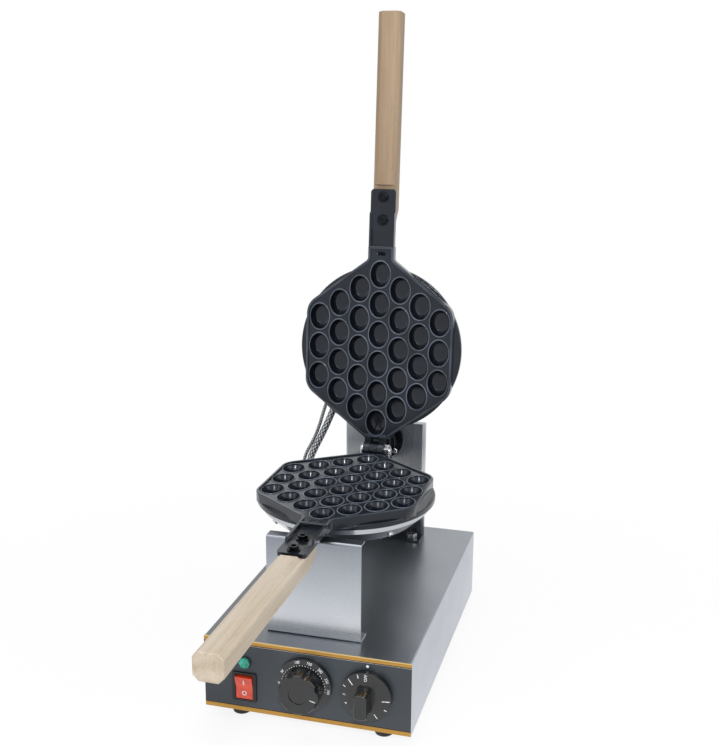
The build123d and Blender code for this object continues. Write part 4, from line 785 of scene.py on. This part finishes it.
# Marks printed on the dials, the panel and the rocker. Clock places are in hours, lengths in mm.
temperatureMarks = {
    "x": 0.0, "height": 40.6, "outer": 27.3, "crown": 21.3, "side": 4.5, "top": 7.0,
    "numbers": {9.0: "0", 10.0: "50", 11.5: "100", 12.45: "150", 1.4: "200", 2.3: "250", 3.2: "300"},
    "numberSize": 3.6,
    "numberReach": 24.9,
    "dotReach": 22.0,
    "dots": (8.7, 15.2, 27),
    "dotSize": 0.75,
    "pointer": (3.5, 12.5, 18.5, 0.55),  # clock place, inner and outer end, width
    "pointerHeight": 0.5,
    "pointerLift": 0.05,
    "pointerRound": 0.15,
    "knobFace": 24.5,  # from the panel
}
timerMarks = {
    "x": 62.0, "height": 39.3, "outer": 25.1, "crown": 13.5, "side": 6.5, "top": 9.5,
    "ticks": [(11.35, 3.4), (10.5, 7.0), (9.8, 3.0), (3.1, 7.5), (3.95, 3.0), (5.0, 6.0), (6.0, 2.4)],
    "tickWidth": 0.75,
    "tickReach": 24.0,
    "words": {12.05: "OFF", 9.05: "5", 8.2: "4"},
    "wordSize": 4.0,
    "wordReach": 20.6,
    "indexReach": 28.4,
    "indexSize": 1.3,
    "indexLow": -0.58,  # from the skirt's back, which puts the dot on the panel
}
rockerMarks = {"bar": (1.3, 5.2), "ring": (2.5, 1.6), "ringSides": 32}
dialGap = 0.6  # between the panel and a dial's skirt
ink = {"thickness": 0.12, "wordThickness": 0.05, "lift": 0.03}


def dialPlace(marks):
    where = (marks["x"] * mm, site["frontY"] - dialGap * mm, site["housingLow"] + marks["height"] * mm)
    return Matrix.Translation(where) @ Matrix.Rotation(math.pi / 2, 4, "X") @ toMetres


def onSkirt(marks, clock, reach):
    # a place on the dial's sloping skirt, turned so that its Y points outwards
    fall = marks["top"] - marks["side"]
    run = marks["outer"] - marks["crown"]
    height = marks["side"] + fall * (marks["outer"] - reach) / run
    return (
        Matrix.Rotation(-clock * math.pi / 6, 4, "Z") @ Matrix.Translation((0, reach, height + ink["lift"]))
        @ Matrix.Rotation(-math.atan2(fall, run), 4, "X"))


def addWords(mesh, words, size, place):
    curve = bpy.data.curves.new("mark", "FONT")
    curve.body, curve.size, curve.extrude = words, size, ink["wordThickness"]
    curve.align_x, curve.align_y = "CENTER", "CENTER"
    holder = bpy.data.objects.new("mark", curve)
    data = bpy.data.meshes.new_from_object(holder)
    part = bmesh.new()
    part.from_mesh(data)
    mergeInto(mesh, part, place)
    bpy.data.objects.remove(holder)
    bpy.data.curves.remove(curve)
    bpy.data.meshes.remove(data)


def addDot(mesh, radius, place):
    bmesh.ops.create_cone(
        mesh, cap_ends=True, segments=20, radius1=radius, radius2=radius,
        depth=ink["thickness"], matrix=place)


def makeTemperatureMarks():
    marks = temperatureMarks
    mesh = bmesh.new()
    for clock, words in marks["numbers"].items():
        addWords(mesh, words, marks["numberSize"], onSkirt(marks, clock, marks["numberReach"]))
    first, last, count = marks["dots"]
    for i in range(count):
        clock = first + (last - first) * i / (count - 1)
        addDot(mesh, marks["dotSize"] / 2, onSkirt(marks, clock, marks["dotReach"]))
    finishPiece(
        "temperatureMarks", mesh, "temperature_knob", finish["ink"], dialPlace(marks),
        sharp=30, weighted=False)
    rib = bmesh.new()
    clock, start, end, width = marks["pointer"]
    face = marks["knobFace"] - dialGap
    turn = Matrix.Rotation(-clock * math.pi / 6, 4, "Z")
    place = turn @ Matrix.Translation((0, (start + end) / 2, face + marks["pointerLift"]))
    addBlock(rib, (width, end - start, marks["pointerHeight"]), place, marks["pointerRound"])
    finishPiece(
        "temperaturePointer", rib, "temperature_knob", finish["ink"], dialPlace(marks))


def makeTimerMarks():
    marks = timerMarks
    mesh = bmesh.new()
    for clock, length in marks["ticks"]:
        place = onSkirt(marks, clock, marks["tickReach"] - length / 2)
        addBlock(mesh, (marks["tickWidth"], length, ink["thickness"]), place)
    for clock, words in marks["words"].items():
        turn = Matrix.Rotation(math.pi / 2 if len(words) > 1 else 0, 4, "Z")
        addWords(mesh, words, marks["wordSize"], onSkirt(marks, clock, marks["wordReach"]) @ turn)
    finishPiece(
        "timerMarks", mesh, "timer_knob", finish["ink"], dialPlace(marks),
        sharp=30, weighted=False)
    index = bmesh.new()
    addDot(index, marks["indexSize"], Matrix.Translation((0, marks["indexReach"], marks["indexLow"])))
    finishPiece("timerIndexDot", index, "base", finish["ink"], dialPlace(marks), weighted=False)


def makeRockerMarks():
    # a bar on the upper half of the rocker and a ring on the lower half
    source = cleanCopy("power_rocker")
    halves = sorted(
        (face for face in source.faces if face.normal.y < -0.7), key=lambda face: -face.calc_area())[:2]
    halves.sort(key=lambda face: -face.calc_center_median().z)
    mesh = bmesh.new()
    for number, face in enumerate(halves):
        side = Vector((1, 0, 0))
        outward = face.normal
        up = outward.cross(side)
        turn = Matrix((side, up, outward)).transposed().to_4x4()
        place = Matrix.Translation(face.calc_center_median_weighted()) @ turn
        if number == 0:
            addBlock(mesh, (*rockerMarks["bar"], ink["thickness"]), place)
        else:
            outer, inner = rockerMarks["ring"]
            half = ink["thickness"] / 2
            ring = bmesh.new()
            section = [(inner, -half), (outer, -half), (outer, half), (inner, half)]
            spinProfile(ring, section, rockerMarks["ringSides"], closed=True)
            mergeInto(mesh, ring, place)
    source.free()
    finishPiece("rockerMarks", mesh, "power_key", finish["ink"], sharp=30, weighted=False)


makeTemperatureMarks()
makeTimerMarks()
makeRockerMarks()
print("marks made")

# The braided conduits. Routes are the control points of the solids' routes, in mm. Each also names two bodies,
# which nothing here reads: the tubes are made in place and ride with no body.
conduits = {
    "upper_conduit": {
        "diameter": 8.0, "finish": "hose", "bodies": ("lower_pan", "upper_pan"),
        "route": [
            (-54, 227.44, 256.71), (-61.14, 225.84, 238.10), (-72.5, 222.7, 211), (-82, 224.2, 193),
            (-89.5, 226.1, 176), (-89.5, 226.1, 162)]},
    "upper_conduit_tail": {
        "diameter": 8.0, "finish": "hose", "bodies": ("base", "lower_pan"),
        "route": [(-89.5, 226.1, 162), (-89.5, 226.1, 146), (-92, 229.7, 119.5), (-92, 229.7, 101.5)]},
    "sensor_sleeve": {
        "diameter": 4.0, "finish": "sleeve", "bodies": ("lower_pan", "upper_pan"),
        "route": [
            (-64, 222.81, 260.12), (-69.4, 221.34, 243.01), (-74.5, 220.2, 224), (-82.5, 224.2, 205),
            (-97.5, 226.1, 178), (-97.5, 226.1, 162)]},
    "sensor_sleeve_tail": {
        "diameter": 4.0, "finish": "sleeve", "bodies": ("base", "lower_pan"),
        "route": [(-97.5, 226.1, 162), (-97.5, 226.1, 146), (-95.5, 214.2, 117.5), (-95.5, 214.2, 99.5)]},
    "lower_conduit": {
        "diameter": 8.0, "finish": "hose", "bodies": ("base", "lower_pan"),
        "route": [
            (-54, 141.8, 178.1), (-62.57, 164.22, 178.1), (-68, 186.2, 170), (-70, 196.2, 145),
            (-68, 197.2, 119.5), (-68, 197.2, 101.5)]},
}


def readRoute(points):
    # the points of a smooth line led by the route's control points
    curve = bpy.data.curves.new("route", "CURVE")
    curve.dimensions = "3D"
    spline = curve.splines.new("NURBS")
    spline.points.add(len(points) - 1)
    for point, place in zip(spline.points, points):
        point.co = (*place, 1)
    spline.order_u = 3
    spline.use_endpoint_u = True
    spline.resolution_u = 10
    holder = bpy.data.objects.new("route", curve)
    data = bpy.data.meshes.new_from_object(holder)
    line = [vert.co.copy() for vert in data.vertices]
    bpy.data.objects.remove(holder)
    bpy.data.curves.remove(curve)
    bpy.data.meshes.remove(data)
    return line


def makeTube(line, radius, sides=20):
    # a ring drawn along the line, with a UV map: once round the tube, metres along it
    mesh = bmesh.new()
    around = mesh.verts.layers.float.new("round")
    along = mesh.verts.layers.float.new("along")
    direction = (line[1] - line[0]).normalized()
    verts = bmesh.ops.create_circle(mesh, cap_ends=False, radius=radius, segments=sides)["verts"]
    for i, vert in enumerate(verts):
        vert[around] = i / sides
    bmesh.ops.rotate(mesh, verts=verts, cent=(0, 0, 0), matrix=direction.to_track_quat("Z", "Y").to_matrix())
    bmesh.ops.translate(mesh, vec=line[0], verts=verts)
    edges = edgesOf(verts)
    travelled = 0.0
    for i in range(1, len(line)):
        ahead = line[min(i + 1, len(line) - 1)] - line[i - 1]
        made = bmesh.ops.extrude_edge_only(mesh, edges=edges)["geom"]
        verts, edges = newRing(made)
        turn = direction.rotation_difference(ahead.normalized()).to_matrix()
        direction = ahead.normalized()
        bmesh.ops.rotate(mesh, verts=verts, cent=line[i - 1], matrix=turn)
        bmesh.ops.translate(mesh, vec=line[i] - line[i - 1], verts=verts)
        travelled += (line[i] - line[i - 1]).length
        for vert in verts:
            vert[along] = travelled
    uvMap = mesh.loops.layers.uv.new("UVMap")
    for face in mesh.faces:
        shares = [vert[around] for vert in face.verts]
        wraps = max(shares) - min(shares) > 0.5
        for loop in face.loops:
            share = loop.vert[around]
            loop[uvMap].uv = (share + 1 if wraps and share < 0.5 else share, loop.vert[along] * mm)
    return mesh


def makeConduits():
    for node, kit in conduits.items():
        line = readRoute(kit["route"])
        mesh = makeTube(line, kit["diameter"] / 2)
        piece = finishPiece(
            node + ".braided", mesh, None, finish[kit["finish"]], replaced=[node], sharp=60,
            weighted=False)
        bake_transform(piece)


makeConduits()
print("conduits made")


# the stage: pale floor, soft lamps, the camera at the photograph's place
def makeFloor():
    material, tree, shader = startMaterial("paleFloor", {"Base Color": linear("F4F4F4"), "Roughness": 0.9})
    light = addNode(tree, "Emission", {"Color": (1, 1, 1, 1), "Strength": 1.0})
    path = addNode(tree, "LightPath")
    seen = addNode(
        tree, "Math", {"operation": "MAXIMUM"},
        {0: path.outputs["Is Camera Ray"], 1: path.outputs["Is Glossy Ray"]})
    where = addNode(tree, "TexCoord").outputs["Object"]
    away = addNode(tree, "VectorMath", {"operation": "LENGTH"}, {0: where}).outputs["Value"]
    # plain white from 0.75 m off, with a little shadow within 0.25 m
    share = addNode(
        tree, "MapRange", {"From Min": 0.25, "From Max": 0.75, "To Min": 0.86, "To Max": 1.0},
        {"Value": away})
    share = addNode(tree, "Math", {"operation": "MULTIPLY"}, {0: seen.outputs[0], 1: share.outputs[0]})
    mixed = addNode(
        tree, "MixShader", {},
        {0: share.outputs[0], 1: shader.outputs["BSDF"], 2: light.outputs["Emission"]})
    tree.links.new(mixed.outputs[0], tree.nodes["Material Output"].inputs["Surface"])
    mesh = bmesh.new()
    bmesh.ops.create_grid(mesh, x_segments=1, y_segments=1, size=6.0)
    data = bpy.data.meshes.new("floor")
    mesh.to_mesh(data)
    mesh.free()
    data.materials.append(material)
    floor = bpy.data.objects.new("floor", data)
    bpy.context.scene.collection.objects.link(floor)


def makeWorld():
    world = bpy.data.worlds.new("studio")
    bpy.context.scene.world = world
    world.use_nodes = True
    tree = world.node_tree
    path = addNode(tree, "LightPath")
    seen = addNode(
        tree, "Math", {"operation": "ADD"},
        {0: path.outputs["Is Camera Ray"], 1: path.outputs["Is Transmission Ray"]})
    seen = addNode(tree, "Math", {"operation": "ADD"}, {0: seen.outputs[0], 1: path.outputs["Is Glossy Ray"]})
    soft = addNode(tree, "Background", {"Color": linear("F4F6FA"), "Strength": 0.55})
    white = addNode(tree, "Background", {"Color": (1, 1, 1, 1), "Strength": 1.0})
    mixed = addNode(
        tree, "MixShader", {}, {0: seen.outputs[0], 1: soft.outputs[0], 2: white.outputs[0]})
    tree.links.new(mixed.outputs[0], tree.nodes["World Output"].inputs["Surface"])


# soft lamps in metres and watts, and a small key lamp that puts the highlights in the bowls
lamps = {
    "overhead": {"position": (-0.3, -0.3, 1.9), "aim": (0, 0.05, 0.2), "size": (1.6, 1.2), "power": 10},
    "frontLeft": {"position": (-1.5, -1.5, 1.2), "aim": (0, 0, 0.25), "size": (1.0, 1.4), "power": 5},
    "right": {"position": (1.7, 0.1, 0.9), "aim": (0, 0.05, 0.2), "size": (1.0, 1.2), "power": 6},
    "key": {"position": (0.45, -1.4, 1.24), "aim": (0, 0.08, 0.25), "size": (0.24, 0.24), "power": 18},
}


def addLamp(name, position, aim, size, power):
    data = bpy.data.lights.new(name, "AREA")
    data.shape = "RECTANGLE"
    data.size, data.size_y = size
    data.energy = power
    lamp = bpy.data.objects.new(name, data)
    lamp.location = position
    lamp.rotation_euler = (Vector(aim) - Vector(position)).to_track_quat("-Z", "Y").to_euler()
    bpy.context.scene.collection.objects.link(lamp)


def makeCamera():
    # degrees, metres and millimetres of lens, fitted to the photograph
    view = {
        "azimuth": 15.54, "elevation": 14.34, "roll": 0.30, "lens": 54.0,
        "position": (0.3093, -0.9877, 0.6112)}
    data = bpy.data.cameras.new("camera")
    data.lens = view["lens"]
    data.sensor_width = 36
    camera = bpy.data.objects.new("camera", data)
    camera.location = view["position"]
    turn = Euler((math.radians(90 - view["elevation"]), 0, math.radians(view["azimuth"])), "XYZ").to_matrix()
    camera.rotation_euler = (turn @ Matrix.Rotation(math.radians(view["roll"]), 3, "Z")).to_euler()
    bpy.context.scene.collection.objects.link(camera)
    bpy.context.scene.camera = camera


makeFloor()
makeWorld()
for name, kit in lamps.items():
    addLamp(name, kit["position"], kit["aim"], kit["size"], kit["power"])
makeCamera()
bpy.context.scene.view_settings.view_transform = "Standard"
print("stage made")
